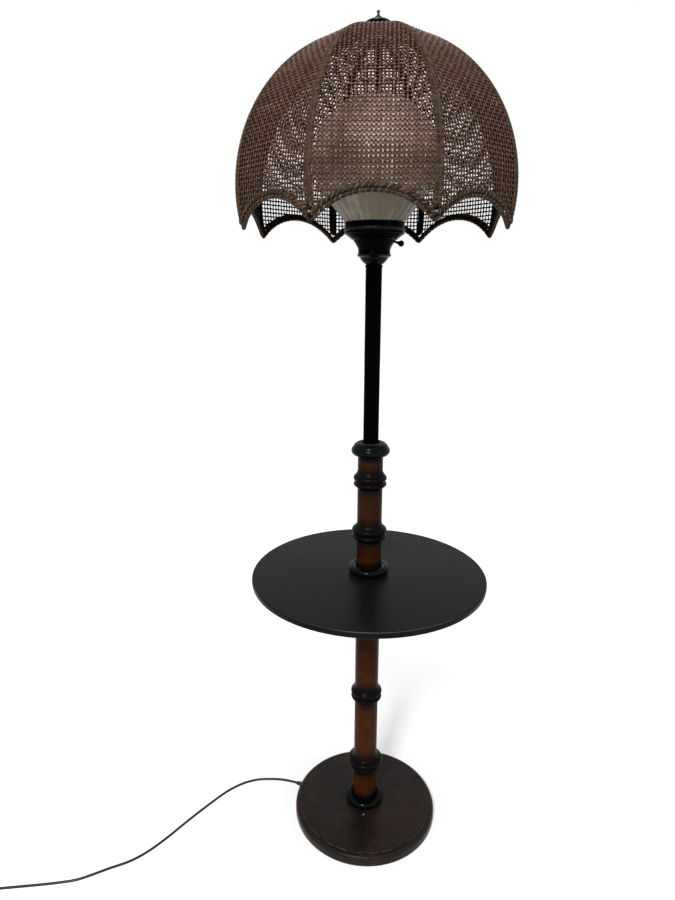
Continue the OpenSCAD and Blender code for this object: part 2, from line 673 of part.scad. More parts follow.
// Radius and height of the winding after a number of turns: it spirals in and out again,
// and climbs a layer in the half turn where the spiral reverses
function winding_r(turn) =
    let (k = floor(turn / coil_run), f = turn - k * coil_run)
    coil_outer_r - coil_pitch * (k % 2 == 0 ? f : coil_run - f);
function climbed(turn, k) = let (f = min(max((turn - k * coil_run) * 2 + 0.5, 0), 1)) f * f * (3 - 2 * f);
function winding_z(turn) = lead_lie_z
    + coil_pitch * (climbed(turn, 1) + climbed(turn, 2) + climbed(turn, 3));
function winding(turn) = coil_centre
    + polar(winding_r(turn), coil_start_a + 360 * turn, winding_z(turn));
coil_path = concat(
    [lead_join], [for (i = [0:coil_steps * coil_turns]) winding(i / coil_steps)],
    smooth_route(concat([winding(coil_turns)], tail_points, [plug_at + [0, 0.1, 0]]), 6));

function unit(v) = v / norm(v);
function ring_points(path, i, r, sides) =
    let (t = unit(path[min(i + 1, len(path) - 1)] - path[max(i - 1, 0)]),
         side = unit(cross(t, [0, 0, 1])), up = cross(side, t))
    [for (j = [0:sides - 1]) path[i] + r * (cos(360 * j / sides) * side + sin(360 * j / sides) * up)];

// A round tube along a path, as one closed mesh of triangles
module tube_along(path, r, sides) {
    n = len(path);
    polyhedron(
        points = concat([for (i = [0:n - 1]) each ring_points(path, i, r, sides)],
                        [path[0], path[n - 1]]),
        faces = concat(
            [for (i = [0:n - 2]) for (j = [0:sides - 1])
                let (a = i * sides + j, b = i * sides + (j + 1) % sides) each
                [[a, b, b + sides], [a, b + sides, a + sides]]],
            [for (j = [0:sides - 1]) [(j + 1) % sides, j, n * sides]],
            [for (j = [0:sides - 1])
                [(n - 1) * sides + j, (n - 1) * sides + (j + 1) % sides, n * sides + 1]]));
}

// Drops points closer together than a hair, such as where two stretches join
function spread(v) = [for (i = [0:len(v) - 1]) if (i == 0 || norm(v[i] - v[i - 1]) > 0.01) v[i]];
function least_gap(v, skip) = min([for (i = [0:2:len(v) - 1 - skip]) for (j = [i + skip:len(v) - 1])
    norm(v[i] - v[j]) - lead_d]);
function path_length(v) = len(v) < 2 ? 0 : [for (i = [0:len(v) - 2]) norm(v[i + 1] - v[i])]
    * [for (i = [0:len(v) - 2]) 1];

module cord_lead() color("#191614") {
    path = smooth_route(lead_route, 11);
    echo(free_lead_mm = path_length(path), rings = len(path));
    tube_along(path, lead_r, 8);
}

module cord_coil() color("#191614") {
    path = spread(coil_path);
    echo(coil_mm = path_length(path), least_gap_mm = least_gap(path, coil_steps / 2));
    tube_along(path, lead_r, 6);
}

plug_w = 24;
plug_h = 14;
blade_len = 17.5;
module plug_body() color("#191614") translate(plug_at) rotate([90, 0, 0]) difference() {
    union() {
        translate([0, 0, 12]) linear_extrude(height = plug_len - 12) square([plug_w, plug_h], center = true);
        cylinder(r1 = lead_r + 1, r2 = plug_h / 2, h = 12.5, $fn = 32);
    }
    for (s = [-1, 1]) translate([s * (plug_w / 2 + 3), 0, plug_len - 9])
        rotate([90, 0, 0]) cylinder(r = 5, h = plug_h * 2, center = true, $fn = 32);
}

module plug_blades() color("#c9b36a") translate(plug_at - [0, plug_len + blade_len / 2, 0])
    for (s = [-1, 1]) translate([s * 6.35, 0, 0]) difference() {
        cube([1.5, blade_len, 6.3], center = true);
        translate([0, -blade_len / 2 + 4, 0]) rotate([0, 90, 0])
            cylinder(r = 1.5, h = 4, center = true, $fn = 24);
    }

base_felt();
base();
base_weight();
base_washer();
base_nut();
lead_sleeve();
inner_lead();
base_collar();
lower_column();
table_flange();
table_top();
table_collar();
upper_column();
top_collar();
reeded_tube();
tube_ring();
threaded_pipe();
fluted_cup();
glass_holder();
holder_nut();
lamp_cluster();
switch_bushing();
switch_knob();
candle_sockets();
bulb_caps();
bulbs();
glass_globe();
globe_washer();
globe_nut();
shade_rod();
shade_rest_nut();
shade_top_ring();
shade_ribs();
shade_rim_wire();
for (k = [0:panels - 1])
    shade_panel(k);
seam_bindings();
rim_binding();
shade_cap();
finial();
cord_lead();
cord_coil();
plug_body();
plug_blades();
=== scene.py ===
"""A floor lamp with a round table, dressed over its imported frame. Sizes are in millimetres, and go to
metres where a mesh or a light is made. The pieces come in the order in which the lamp is put together."""
import math

import bpy
import numpy as np
from mathutils import Matrix, Vector


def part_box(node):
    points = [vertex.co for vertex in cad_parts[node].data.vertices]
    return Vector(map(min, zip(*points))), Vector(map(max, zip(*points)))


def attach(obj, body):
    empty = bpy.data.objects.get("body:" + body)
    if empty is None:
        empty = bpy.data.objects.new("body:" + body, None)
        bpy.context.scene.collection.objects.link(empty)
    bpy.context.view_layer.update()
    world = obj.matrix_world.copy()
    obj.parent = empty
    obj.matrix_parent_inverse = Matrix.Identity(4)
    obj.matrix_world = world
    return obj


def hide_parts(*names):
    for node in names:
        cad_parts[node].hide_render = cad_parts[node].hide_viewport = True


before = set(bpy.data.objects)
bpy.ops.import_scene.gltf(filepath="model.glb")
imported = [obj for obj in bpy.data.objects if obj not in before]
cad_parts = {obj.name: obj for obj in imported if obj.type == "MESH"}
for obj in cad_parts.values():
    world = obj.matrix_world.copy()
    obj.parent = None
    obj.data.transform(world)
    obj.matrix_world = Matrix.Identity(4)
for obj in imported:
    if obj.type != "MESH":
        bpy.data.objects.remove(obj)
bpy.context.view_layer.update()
mm = 0.001

# ---- Studio: camera, floor and light -------------------------------------------------------------
# A plain pale floor under one softbox at the front, a little left of the camera, a weak one at the right
# and an even white room. The camera is 1.01 m high and 1.04 m from the lamp, as the photograph's was.


def linear(hex_colour):
    """An sRGB hex colour as linear red, green, blue and alpha."""
    shares = [int(hex_colour[i:i + 2], 16) / 255 for i in (1, 3, 5)]
    return tuple(c / 12.92 if c <= 0.04045 else ((c + 0.055) / 1.055) ** 2.4 for c in shares) + (1,)


def add(tree, kind, settings, out=0):
    """Adds a shader node and gives back one output. A small-letter key is a property of the node, any
    other key one of its inputs, whose value is a number, a colour or the output that feeds it."""
    made = tree.nodes.new("ShaderNode" + kind)
    for key, value in settings.items():
        if key == "stops":
            ramp = made.color_ramp
            while len(ramp.elements) < len(value):
                ramp.elements.new(0.5)
            for held, (place, colour) in zip(ramp.elements, sorted(value)):
                held.position, held.color = place, linear(colour)
        elif isinstance(key, str) and key[0].islower():
            setattr(made, key, value)
        elif isinstance(value, bpy.types.NodeSocket):
            tree.links.new(value, made.inputs[key])
        else:
            made.inputs[key].default_value = value
    return made.outputs[out] if made.outputs else made


scene = bpy.context.scene
scene.view_settings.view_transform = "Standard"

camera_at = Vector((-38.85, -1043.91, 1014.22))
turned_left, looks_down, leans = (math.radians(a) for a in (1.008, 14.42, 0.2425))
camera = bpy.data.objects.new("camera", bpy.data.cameras.new("camera"))
scene.collection.objects.link(camera)
camera.data.sensor_fit = "VERTICAL"
camera.data.sensor_height = 36
camera.data.lens = 24.96
camera.matrix_world = (Matrix.Translation(camera_at * mm) @ Matrix.Rotation(turned_left, 4, "Z")
                       @ Matrix.Rotation(math.pi / 2 - looks_down, 4, "X")
                       @ Matrix.Rotation(leans, 4, "Z"))
scene.camera = camera


def shows_white(tree):
    """1 for the rays that show the white room itself: the camera's, and those that metal reflects and
    glass lets through. Other rays only carry its light."""
    ray = add(tree, "LightPath", {}).node
    seen = ray.outputs["Is Camera Ray"]
    for other in ("Is Glossy Ray", "Is Transmission Ray"):
        seen = add(tree, "Math", {"operation": "MAXIMUM", 0: seen, 1: ray.outputs[other]})
    return seen


room = bpy.data.worlds.new("white_room")
room.use_nodes = True
room.node_tree.nodes.clear()
lit = add(room.node_tree, "Background", {"Color": linear("#f4f6fa"), "Strength": 0.2})
white = add(room.node_tree, "Background", {"Color": (1, 1, 1, 1), "Strength": 1.0})
both = add(room.node_tree, "MixShader", {0: shows_white(room.node_tree), 1: lit, 2: white})
add(room.node_tree, "OutputWorld", {"Surface": both})
scene.world = room

floor_r, floor_corners = 8, 96     # in metres
floor_mesh = bpy.data.meshes.new("studio_floor")
floor_mesh.from_pydata([(floor_r * math.cos(math.tau * i / floor_corners),
                         floor_r * math.sin(math.tau * i / floor_corners), 0)
                        for i in range(floor_corners)], [], [list(range(floor_corners))])
studio_floor = bpy.data.objects.new("studio_floor", floor_mesh)
scene.collection.objects.link(studio_floor)


def new_finish(name):
    """A material with an empty node tree, that tree, and the place on the lamp. The place is in metres,
    so a noise of Scale 250 has cells of about 4 mm."""
    finish = bpy.data.materials.new(name)
    finish.use_nodes = True
    finish.node_tree.nodes.clear()
    return finish, finish.node_tree, add(finish.node_tree, "TexCoord", {}, 3)


# Painted studio floor: matt and pale, lifted to the white of the room away from the lamp, so that it
# has no horizon, and less lifted round the lamp, so that its soft shadow is seen.
pale_paint, tree, place = new_finish("matt_floor_paint")
matt = add(tree, "BsdfDiffuse", {"Color": linear("#d9d9d8")})
from_lamp = add(tree, "VectorMath", {"operation": "LENGTH", 0: place}, 1)
level = add(tree, "MapRange", {"Value": from_lamp, "From Min": 0.16, "From Max": 0.75, "To Min": 0.56,
                               "To Max": 1.0})
lift = add(tree, "Emission", {"Color": (1, 1, 1, 1), "Strength": add(
    tree, "Math", {"operation": "MULTIPLY", 0: shows_white(tree), 1: level})})
add(tree, "OutputMaterial", {"Surface": add(tree, "AddShader", {0: matt, 1: lift})})
floor_mesh.materials.append(pale_paint)

lamp_middle = Vector((0, 0, 0.85))
for name, stands_at, power, side in (("key_softbox", (-0.66, -2.16, 2.25), 66, 0.45),
                                     ("fill_softbox", (1.9, -1.3, 1.5), 6, 1.0)):
    softbox = bpy.data.objects.new(name, bpy.data.lights.new(name, "AREA"))
    scene.collection.objects.link(softbox)
    softbox.data.energy = power
    softbox.data.size = side
    softbox.location = stands_at
    softbox.rotation_euler = (lamp_middle - softbox.location).to_track_quat("-Z", "Y").to_euler()

# ---- Mains lead ------------------------------------------------------------------------------------
# A round 4.6 mm PVC lead of 2.46 m. It leaves the base at the back left, lies in loose bends on the
# floor, and its spare length is wound in a neat coil that a nylon strap holds, with the plug beside it.
lead_d = 4.6
sleeve_end = 149.6          # from the lamp's axis
exit_a = math.radians(160)
exit_z = 9.5
lie_z = 2.4                 # height of its middle where it lies on the floor
coil_middle = np.array([-690.0, -230.0, 0.0])
coil_outer, coil_pitch, coil_turns, coil_layers = 34, 5.2, 10.25, 4
coil_run = coil_turns / coil_layers


def polar(r, a, z):
    """The point at radius r, angle a and height z."""
    return [r * math.cos(a), r * math.sin(a), z]


def smooth_route(points, spacing):
    """Points about spacing apart on a Catmull-Rom curve through the given ones."""
    p = [np.array(q, float) for q in points]
    made = []
    for i in range(len(p) - 1):
        a, b, c, d = p[max(i - 1, 0)], p[i], p[i + 1], p[min(i + 2, len(p) - 1)]
        steps = max(1, round(np.linalg.norm(c - b) / spacing))
        for t in (j / steps for j in range(steps)):
            made.append(0.5 * (2 * b + (c - a) * t + (2 * a - 5 * b + 4 * c - d) * t * t
                               + (3 * b - a - 3 * c + d) * t ** 3))
    return made + [p[-1]]


def winding(turn):
    """Where the lead is after that many turns of the coil: in and out again, a layer up at each end."""
    layer, share = divmod(turn, coil_run)
    r = coil_outer - coil_pitch * (share if layer % 2 == 0 else coil_run - share)
    z = lie_z
    for k in range(1, coil_layers):
        f = min(max((turn - k * coil_run) * 2 + 0.5, 0), 1)     # it climbs within half a turn
        z += coil_pitch * f * f * (3 - 2 * f)
    return coil_middle + polar(r, math.radians(90 + 360 * turn), z)


lying = [[-255, 54], [-284, 32], [-314, -2], [-346, -42], [-376, -82], [-402, -112], [-429, -134],
         [-464, -151], [-500, -169], [-520, -176], [-560, -183], [-598, -188], [-638, -193],
         [-664, -195.6], [-680, -196], [-685, -196]]
route = smooth_route(
    [polar(sleeve_end, exit_a, exit_z), polar(sleeve_end + 6.9, exit_a, exit_z),
     [-172, 61, 7.6], [-198, 66, 4.2], [-226, 65, 2.7]] + [[x, y, lie_z] for x, y in lying], 5)
turn_steps = 40
route += [winding(i / turn_steps) for i in range(1, int(turn_steps * coil_turns) + 1)]
plug_x = -724
route += smooth_route([route[-1]] + [[plug_x, y, z] for y, z in (
    (-246, 17.6), (-256, 13.8), (-265, 9), (-271, 7.2), (-275.4, 7), (-279.9, 7))], 4)[1:]
route = [route[0]] + [b for a, b in zip(route, route[1:]) if np.linalg.norm(b - a) > 0.3]


def mottled(name, scale, detail, dark, light, rough, bump=None, shader=None):
    """A finish whose colour and roughness vary with one noise, which bump may also raise: rough is
    one number or a range, bump a strength and a height, and shader whatever else it is set to."""
    finish, tree, place = new_finish(name)
    noise = add(tree, "TexNoise", {"Vector": place, "Scale": scale, "Detail": detail})
    settings = {"Base Color": add(tree, "ValToRGB", {0: noise, "stops": [(0.3, dark), (0.7, light)]}),
                "Roughness": rough, **(shader or {})}
    if isinstance(rough, tuple):
        settings["Roughness"] = add(tree, "MapRange", {"Value": noise, "To Min": rough[0],
                                                       "To Max": rough[1]})
    if bump:
        settings["Normal"] = add(tree, "Bump", {"Height": noise, "Strength": bump[0],
                                                "Distance": bump[1]})
    add(tree, "OutputMaterial", {"Surface": add(tree, "BsdfPrincipled", settings)})
    return finish


# PVC lead sheath: extruded, soft semi-gloss black with a faint drag along it
pvc = mottled("extruded_pvc", 260, 3, "#0d0c0c", "#1b1918", (0.3, 0.46), (0.12, 0.0002),
              {"IOR": 1.53, "Specular IOR Level": 0.3})

lead_curve = bpy.data.curves.new("mains_lead", "CURVE")
lead_curve.dimensions = "3D"
lead_curve.bevel_depth = lead_d / 2 * mm
lead_curve.bevel_resolution = 3
lead_curve.use_fill_caps = True
line = lead_curve.splines.new("POLY")
line.points.add(len(route) - 1)
for held, at in zip(line.points, route):
    held.co = (*(at * mm), 1)
lead_curve.materials.append(pvc)
mains_lead = bpy.data.objects.new("mains_lead", lead_curve)
scene.collection.objects.link(mains_lead)
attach(mains_lead, "stand")
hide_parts("cord_lead", "cord_coil")


def dress(finish, *names):
    """Gives a finish to CAD nodes, through their objects' material slots."""
    for name in names:
        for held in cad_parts[name].material_slots:
            held.material = finish


dress(pvc, "inner_lead", "plug_body")


def sweep(middles, outs, half_width, half_height, sides, closed=False):
    """Corners and faces of a strand of oval section along middles, its flat side turned to outs."""
    middles, outs = np.asarray(middles, float), np.asarray(outs, float)
    n = len(middles)
    along = np.roll(middles, -1, 0) - np.roll(middles, 1, 0) if closed else np.gradient(middles, axis=0)
    across = np.cross(along, outs)
    across /= np.linalg.norm(across, axis=1)[:, None]
    up = np.cross(across, along)
    up /= np.linalg.norm(up, axis=1)[:, None]
    turn = math.tau * np.arange(sides) / sides
    wide = np.broadcast_to(half_width, n)[:, None, None] * np.cos(turn)[None, :, None]
    high = np.broadcast_to(half_height, n)[:, None, None] * np.sin(turn)[None, :, None]
    corners = (middles[:, None] + wide * across[:, None] + high * up[:, None]).reshape(-1, 3)
    i, j = np.arange(n if closed else n - 1)[:, None], np.arange(sides)[None, :]
    here, there, step = i * sides, (i + 1) % n * sides, (j + 1) % sides
    faces = np.stack([here + j, there + j, there + step, here + step], -1).reshape(-1, 4).tolist()
    if not closed:
        faces += [list(range(sides)), list(range(n * sides - 1, (n - 1) * sides - 1, -1))]
    return corners, faces


def make_piece(name, parts, finish, body, stands_for=()):
    """One smooth mesh of parts, each (corners, faces, tone), as a piece that rides on a body. The
    tone, a number or one for each corner, is there for the material to vary its colour by."""
    corners, faces, tones, first = [], [], [], 0
    for points, quads, tone in parts:
        corners.append(points)
        faces += [[first + c for c in face] for face in quads]
        tones.append(np.broadcast_to(tone, len(points)))
        first += len(points)
    mesh = bpy.data.meshes.new(name)
    mesh.from_pydata((np.concatenate(corners) * mm).tolist(), [], faces)
    mesh.shade_smooth()
    mesh.attributes.new("tone", "FLOAT", "POINT").data.foreach_set(
        "value", np.concatenate(tones).astype(np.float32))
    mesh.materials.append(finish)
    made = bpy.data.objects.new(name, mesh)
    scene.collection.objects.link(made)
    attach(made, body)
    if stands_for:
        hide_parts(*stands_for)
    return made


# Nylon strap: woven tape with fine cross ribs, matt
nylon, tree, place = new_finish("woven_nylon_tape")
ribs = add(tree, "TexWave", {"Vector": place, "Scale": 320, "bands_direction": "Z"})
add(tree, "OutputMaterial", {"Surface": add(tree, "BsdfPrincipled", {
    "Base Color": add(tree, "ValToRGB", {0: ribs, "stops": [(0.2, "#0f0f10"), (0.8, "#232325")]}),
    "Roughness": 0.75, "Normal": add(tree, "Bump", {"Height": ribs, "Strength": 0.4,
                                                    "Distance": 0.0003})})})
# it goes round the coil's section in a loop with rounded corners
strap_a = math.radians(215)
radial = np.array([math.cos(strap_a), math.sin(strap_a), 0])
strap_r, strap_z, strap_half_w, strap_half_h = 27.3, 10.1, 9.6, 10.4
strap_line, strap_out = [], []
for i in range(48):
    c, s = math.cos(math.tau * i / 48), math.sin(math.tau * i / 48)
    strap_line.append(coil_middle + (strap_r + strap_half_w * math.copysign(abs(c) ** 0.35, c)) * radial
                      + [0, 0, strap_z + strap_half_h * math.copysign(abs(s) ** 0.35, s)])
    strap_out.append(c / strap_half_w * radial + [0, 0, s / strap_half_h])
strap = make_piece("lead_strap", [(*sweep(strap_line, strap_out, 5, 0.45, 8, True), 0.5)],
                   nylon, "stand")

# Plug blades: stamped brass, a little dull from handling
dress(mottled("stamped_brass", 180, 4, "#a98c4c", "#cdb473", (0.22, 0.42), None, {"Metallic": 1.0}),
      "plug_blades")

lead_length = sum(float(np.linalg.norm(b - a)) for a, b in zip(route, route[1:])) * mm
print("lead length", round(lead_length, 4))

# Tapered sleeve where the lead leaves the base, and the washer on the globe: moulded rubber, matt
dress(mottled("moulded_rubber", 900, 2, "#0c0c0c", "#181817", 0.6, (0.2, 0.0002),
              {"Specular IOR Level": 0.3}), "lead_sleeve", "globe_washer")

# ---- Base ------------------------------------------------------------------------------------------
# Turned disc of hardwood under black-brown lacquer, rubbed through to the tan wood along the front of
# its step. A cast-iron ring lies in its pocket, felt is glued under it, and a nut pulls it together.
# Wool felt: dark green and matt, with a nap. Cast iron: grey-brown, rough from the sand.
dress(mottled("pressed_wool_felt", 700, 5, "#16201a", "#31402f", 0.95, (0.6, 0.0005),
              {"Sheen Weight": 0.3, "Sheen Roughness": 0.6}), "base_felt")
dress(mottled("sand_cast_iron", 420, 6, "#2a2725", "#4b4440", 0.62, (0.5, 0.0006),
              {"Metallic": 0.7}), "base_weight")

# Zinc plating: bright grey in small crystals, each a little duller or brighter than the next
zinc, tree, place = new_finish("zinc_plated_steel")
spangle = add(tree, "TexVoronoi", {"Vector": place, "Scale": 260})
add(tree, "OutputMaterial", {"Surface": add(tree, "BsdfPrincipled", {
    "Base Color": add(tree, "ValToRGB", {0: spangle, "stops": [(0.1, "#8d8e8d"), (0.8, "#b9b9b3")]}),
    "Metallic": 1.0, "Roughness": add(tree, "MapRange", {"Value": spangle, "To Min": 0.26,
                                                         "To Max": 0.44})})})
dress(zinc, "base_washer", "base_nut", "threaded_pipe", "holder_nut", "shade_rest_nut",
      "shade_top_ring")

# Lacquered wood: reddish cloudy ground, faint rings of the turning, dust specks, rubbed front edge
base_lacquer, tree, place = new_finish("black_brown_lacquered_wood")
cloud = add(tree, "TexNoise", {"Vector": place, "Scale": 26, "Detail": 6, "Roughness": 0.62})
ground = add(tree, "ValToRGB", {0: cloud, "stops": [(0.3, "#15110f"), (0.55, "#211b18"),
                                                    (0.75, "#2f251f")]})
redder = add(tree, "TexNoise", {"Vector": place, "Scale": 17, "Detail": 4})
redder = add(tree, "MapRange", {"Value": redder, "From Min": 0.52, "From Max": 0.72, "To Max": 0.45})
ground = add(tree, "Mix", {"data_type": "RGBA", 0: redder, 6: ground, 7: linear("#331a17")}, 2)
dust = add(tree, "TexVoronoi", {"Vector": place, "Scale": 230, "Randomness": 1.0})
dust = add(tree, "MapRange", {"Value": dust, "From Min": 0.08, "From Max": 0.16, "To Min": 1,
                              "To Max": 0})
some = add(tree, "TexNoise", {"Vector": place, "Scale": 75, "Detail": 2})
some = add(tree, "MapRange", {"Value": some, "From Min": 0.5, "From Max": 0.62})
dust = add(tree, "Math", {"operation": "MULTIPLY", 0: dust, 1: some})
ground = add(tree, "Mix", {"data_type": "RGBA", 0: dust, 6: ground, 7: linear("#6b625a")}, 2)
# short scratches show the brown under the lacquer
scratch = add(tree, "Mapping", {"Vector": place, "Rotation": (0, 0, 0.6), "Scale": (1, 0.12, 0.4)})
scratch = add(tree, "TexNoise", {"Vector": scratch, "Scale": 260, "Detail": 3})
scratch = add(tree, "MapRange", {"Value": scratch, "From Min": 0.71, "From Max": 0.75})
ground = add(tree, "Mix", {"data_type": "RGBA", 0: add(tree, "Math", {
    "operation": "MULTIPLY", 0: scratch, 1: 0.5}), 6: ground, 7: linear("#5b4436")}, 2)


def round_the_axis(tree, place):
    """How far a place is from the lamp's axis, and its three coordinates."""
    apart = add(tree, "SeparateXYZ", {"Vector": place}).node.outputs
    flat = add(tree, "CombineXYZ", {"X": apart[0], "Y": apart[1]})
    return add(tree, "VectorMath", {"operation": "LENGTH", 0: flat}, 1), apart


# the rubbed line lies on the step, and only on the half turned to the room, broken here and there
step_r = 0.1284
base_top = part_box("base")[1][2]
out, apart = round_the_axis(tree, place)
edge_wear_and_highlight = add(tree, "Math", {"operation": "SUBTRACT", 0: out, 1: step_r})
edge_wear_and_highlight = add(tree, "Math", {"operation": "ABSOLUTE", 0: edge_wear_and_highlight})
ragged = add(tree, "TexNoise", {"Vector": place, "Scale": 190, "Detail": 4})
edge_wear_and_highlight = add(tree, "Math", {"operation": "MULTIPLY_ADD", 0: ragged, 1: 0.0016, 2: edge_wear_and_highlight})
edge_wear_and_highlight = add(tree, "MapRange", {"Value": edge_wear_and_highlight, "From Min": 0.0008, "From Max": 0.0013, "To Min": 1,
                             "To Max": 0})
broken = add(tree, "TexNoise", {"Vector": place, "Scale": 95, "Detail": 4, "Roughness": 0.7})
broken = add(tree, "MapRange", {"Value": broken, "From Min": 0.42, "From Max": 0.58})
front = add(tree, "MapRange", {"Value": apart[1], "From Min": -0.055, "From Max": 0.03,
                               "To Min": 1, "To Max": 0})
top = add(tree, "MapRange", {"Value": apart[2], "From Min": base_top - 0.0014,
                             "From Max": base_top - 0.0006})
for share in (broken, front, top):
    edge_wear_and_highlight = add(tree, "Math", {"operation": "MULTIPLY", 0: edge_wear_and_highlight, 1: share})
ground = add(tree, "Mix", {"data_type": "RGBA", 0: edge_wear_and_highlight, 6: ground, 7: linear("#8d7764")}, 2)
# a small chip down to the priming, in front of the ring
chip = add(tree, "VectorMath", {"operation": "DISTANCE", 0: place, 1: (-0.003, -0.0425, base_top)}, 1)
chip = add(tree, "Math", {"operation": "MULTIPLY_ADD", 0: ragged, 1: 0.002, 2: chip})
chip = add(tree, "MapRange", {"Value": chip, "From Min": 0.0024, "From Max": 0.0028, "To Min": 1,
                              "To Max": 0})
ground = add(tree, "Mix", {"data_type": "RGBA", 0: chip, 6: ground, 7: linear("#b8aa92")}, 2)
turned = add(tree, "TexWave", {"Vector": place, "wave_type": "RINGS", "rings_direction": "Z",
                               "Scale": 90, "Distortion": 1.5, "Detail": 2})
uneven = add(tree, "Math", {"operation": "MULTIPLY_ADD", 0: turned, 1: 0.2, 2: cloud})
add(tree, "OutputMaterial", {"Surface": add(tree, "BsdfPrincipled", {
    "Base Color": ground, "IOR": 1.5, "Specular IOR Level": 0.11,
    "Roughness": add(tree, "MapRange", {"Value": cloud, "To Min": 0.24, "To Max": 0.42}),
    "Normal": add(tree, "Bump", {"Height": uneven, "Strength": 0.1, "Distance": 0.0006})})})
dress(base_lacquer, "base")

# ---- Ring collars ----------------------------------------------------------------------------------
# Half-round rings of black enamel, slipped over the column where it meets the base and both faces of
# the table. Enamel: near black with a cold tint, glassy, with a few finger marks.
enamel, tree, place = new_finish("gloss_black_enamel")
marks = add(tree, "TexNoise", {"Vector": place, "Scale": 34, "Detail": 5, "Roughness": 0.65})
add(tree, "OutputMaterial", {"Surface": add(tree, "BsdfPrincipled", {
    "Base Color": add(tree, "ValToRGB", {0: marks, "stops": [(0.3, "#030405"), (0.7, "#07080a")]}),
    "Roughness": add(tree, "MapRange", {"Value": marks, "From Min": 0.3, "From Max": 0.7,
                                        "To Min": 0.08, "To Max": 0.15}),
    "IOR": 1.5, "Specular IOR Level": 0.06})})
dress(enamel, "base_collar", "table_flange", "table_collar")

# ---- Columns ---------------------------------------------------------------------------------------
# Turned hardwood drilled for the pipe, with bamboo-like nodes. Brown varnish, shaded to black by
# spray over each node and for a finger's width round it, over a close upright grain that just shows,
# drawn 2 mm wide because real pores are too fine to show. Darker bands where it meets the rings at
# the foot, the table and the top are painted shade.
varnish, tree, place = new_finish("shaded_brown_varnish")
height = add(tree, "SeparateXYZ", {"Vector": place}, 2)
nearest = None
# heights of the sprayed bands, a little below each bead, and of the painted shade at the foot, under
# and over the table and under the top collar, and how many times faster each fades out than the ones at
# the beads
for dark_z, fades in ((0.117, 1), (0.270, 1), (0.434, 1), (0.598, 1), (0.694, 1),
                      (0.036, 2), (0.5, 1.5), (0.531, 2), (0.737, 3)):
    far = add(tree, "Math", {"operation": "SUBTRACT", 0: height, 1: dark_z})
    far = add(tree, "Math", {"operation": "ABSOLUTE", 0: far})
    far = add(tree, "Math", {"operation": "MULTIPLY", 0: far, 1: fades})
    nearest = far if nearest is None else add(tree, "Math", {"operation": "MINIMUM", 0: nearest,
                                                              1: far})
streak_place = add(tree, "Mapping", {"Vector": place, "Scale": (1, 1, 0.06)})
streak = add(tree, "TexNoise", {"Vector": streak_place, "Scale": 420, "Detail": 5, "Roughness": 0.6})
blot = add(tree, "TexNoise", {"Vector": place, "Scale": 30, "Detail": 3})
edge = add(tree, "Math", {"operation": "MULTIPLY_ADD", 0: blot, 1: 0.006, 2: nearest})
shade = add(tree, "MapRange", {"Value": edge, "From Min": 0.014, "From Max": 0.040,
                               "interpolation_type": "SMOOTHSTEP"})
cloudy = add(tree, "Math", {"operation": "MULTIPLY_ADD", 0: streak, 1: 0.4, 2: blot})
brown = add(tree, "ValToRGB", {0: cloudy, "stops": [(0.45, "#2e1808"), (0.7, "#3f220c"),
                                                    (0.95, "#4d2b10")]})
# more coats on the upper column have left it darker
thick = add(tree, "MapRange", {"Value": height, "From Min": 0.5, "From Max": 0.56, "To Max": 0.45})
brown = add(tree, "Mix", {"data_type": "RGBA", 0: thick, 6: brown, 7: linear("#190b06")}, 2)
coat = add(tree, "Mix", {"data_type": "RGBA", 0: shade, 6: linear("#0b0808"), 7: brown}, 2)
add(tree, "OutputMaterial", {"Surface": add(tree, "BsdfPrincipled", {
    "Base Color": coat, "IOR": 1.5, "Specular IOR Level": 0.035,
    "Roughness": add(tree, "MapRange", {"Value": blot, "To Min": 0.28, "To Max": 0.4}),
    "Normal": add(tree, "Bump", {"Height": streak, "Strength": 0.06, "Distance": 0.0003})})})
dress(varnish, "lower_column", "upper_column")

# ---- Table top -------------------------------------------------------------------------------------
# Round 11 mm board, clamped between the two columns. Satin black lacquer: even and dark, greyer where
# it is seen at a slant, with a few specks of dust, over a straight grain that just shows. The grain is
# drawn 3 mm wide and 60 mm long, coarser than the wood's pores, which are too fine to show.
satin, tree, place = new_finish("satin_black_lacquer")
along_grain = add(tree, "Mapping", {"vector_type": "TEXTURE", "Vector": place,
                                    "Rotation": (0, 0, math.radians(-13)), "Scale": (1, 18, 1)})
grain = add(tree, "TexNoise", {"Vector": along_grain, "Scale": 290, "Detail": 4, "Roughness": 0.6})
wiped = add(tree, "TexNoise", {"Vector": place, "Scale": 9, "Detail": 5, "Roughness": 0.6})
dust = add(tree, "TexVoronoi", {"Vector": place, "Scale": 120, "Randomness": 1.0})
dust = add(tree, "MapRange", {"Value": dust, "From Min": 0.03, "From Max": 0.07, "To Min": 0.7,
                              "To Max": 0})
grained = add(tree, "Math", {"operation": "MULTIPLY_ADD", 0: grain, 1: 0.6, 2: wiped})
tint = add(tree, "ValToRGB", {0: grained, "stops": [(0.5, "#050506"), (1.0, "#131314")]})
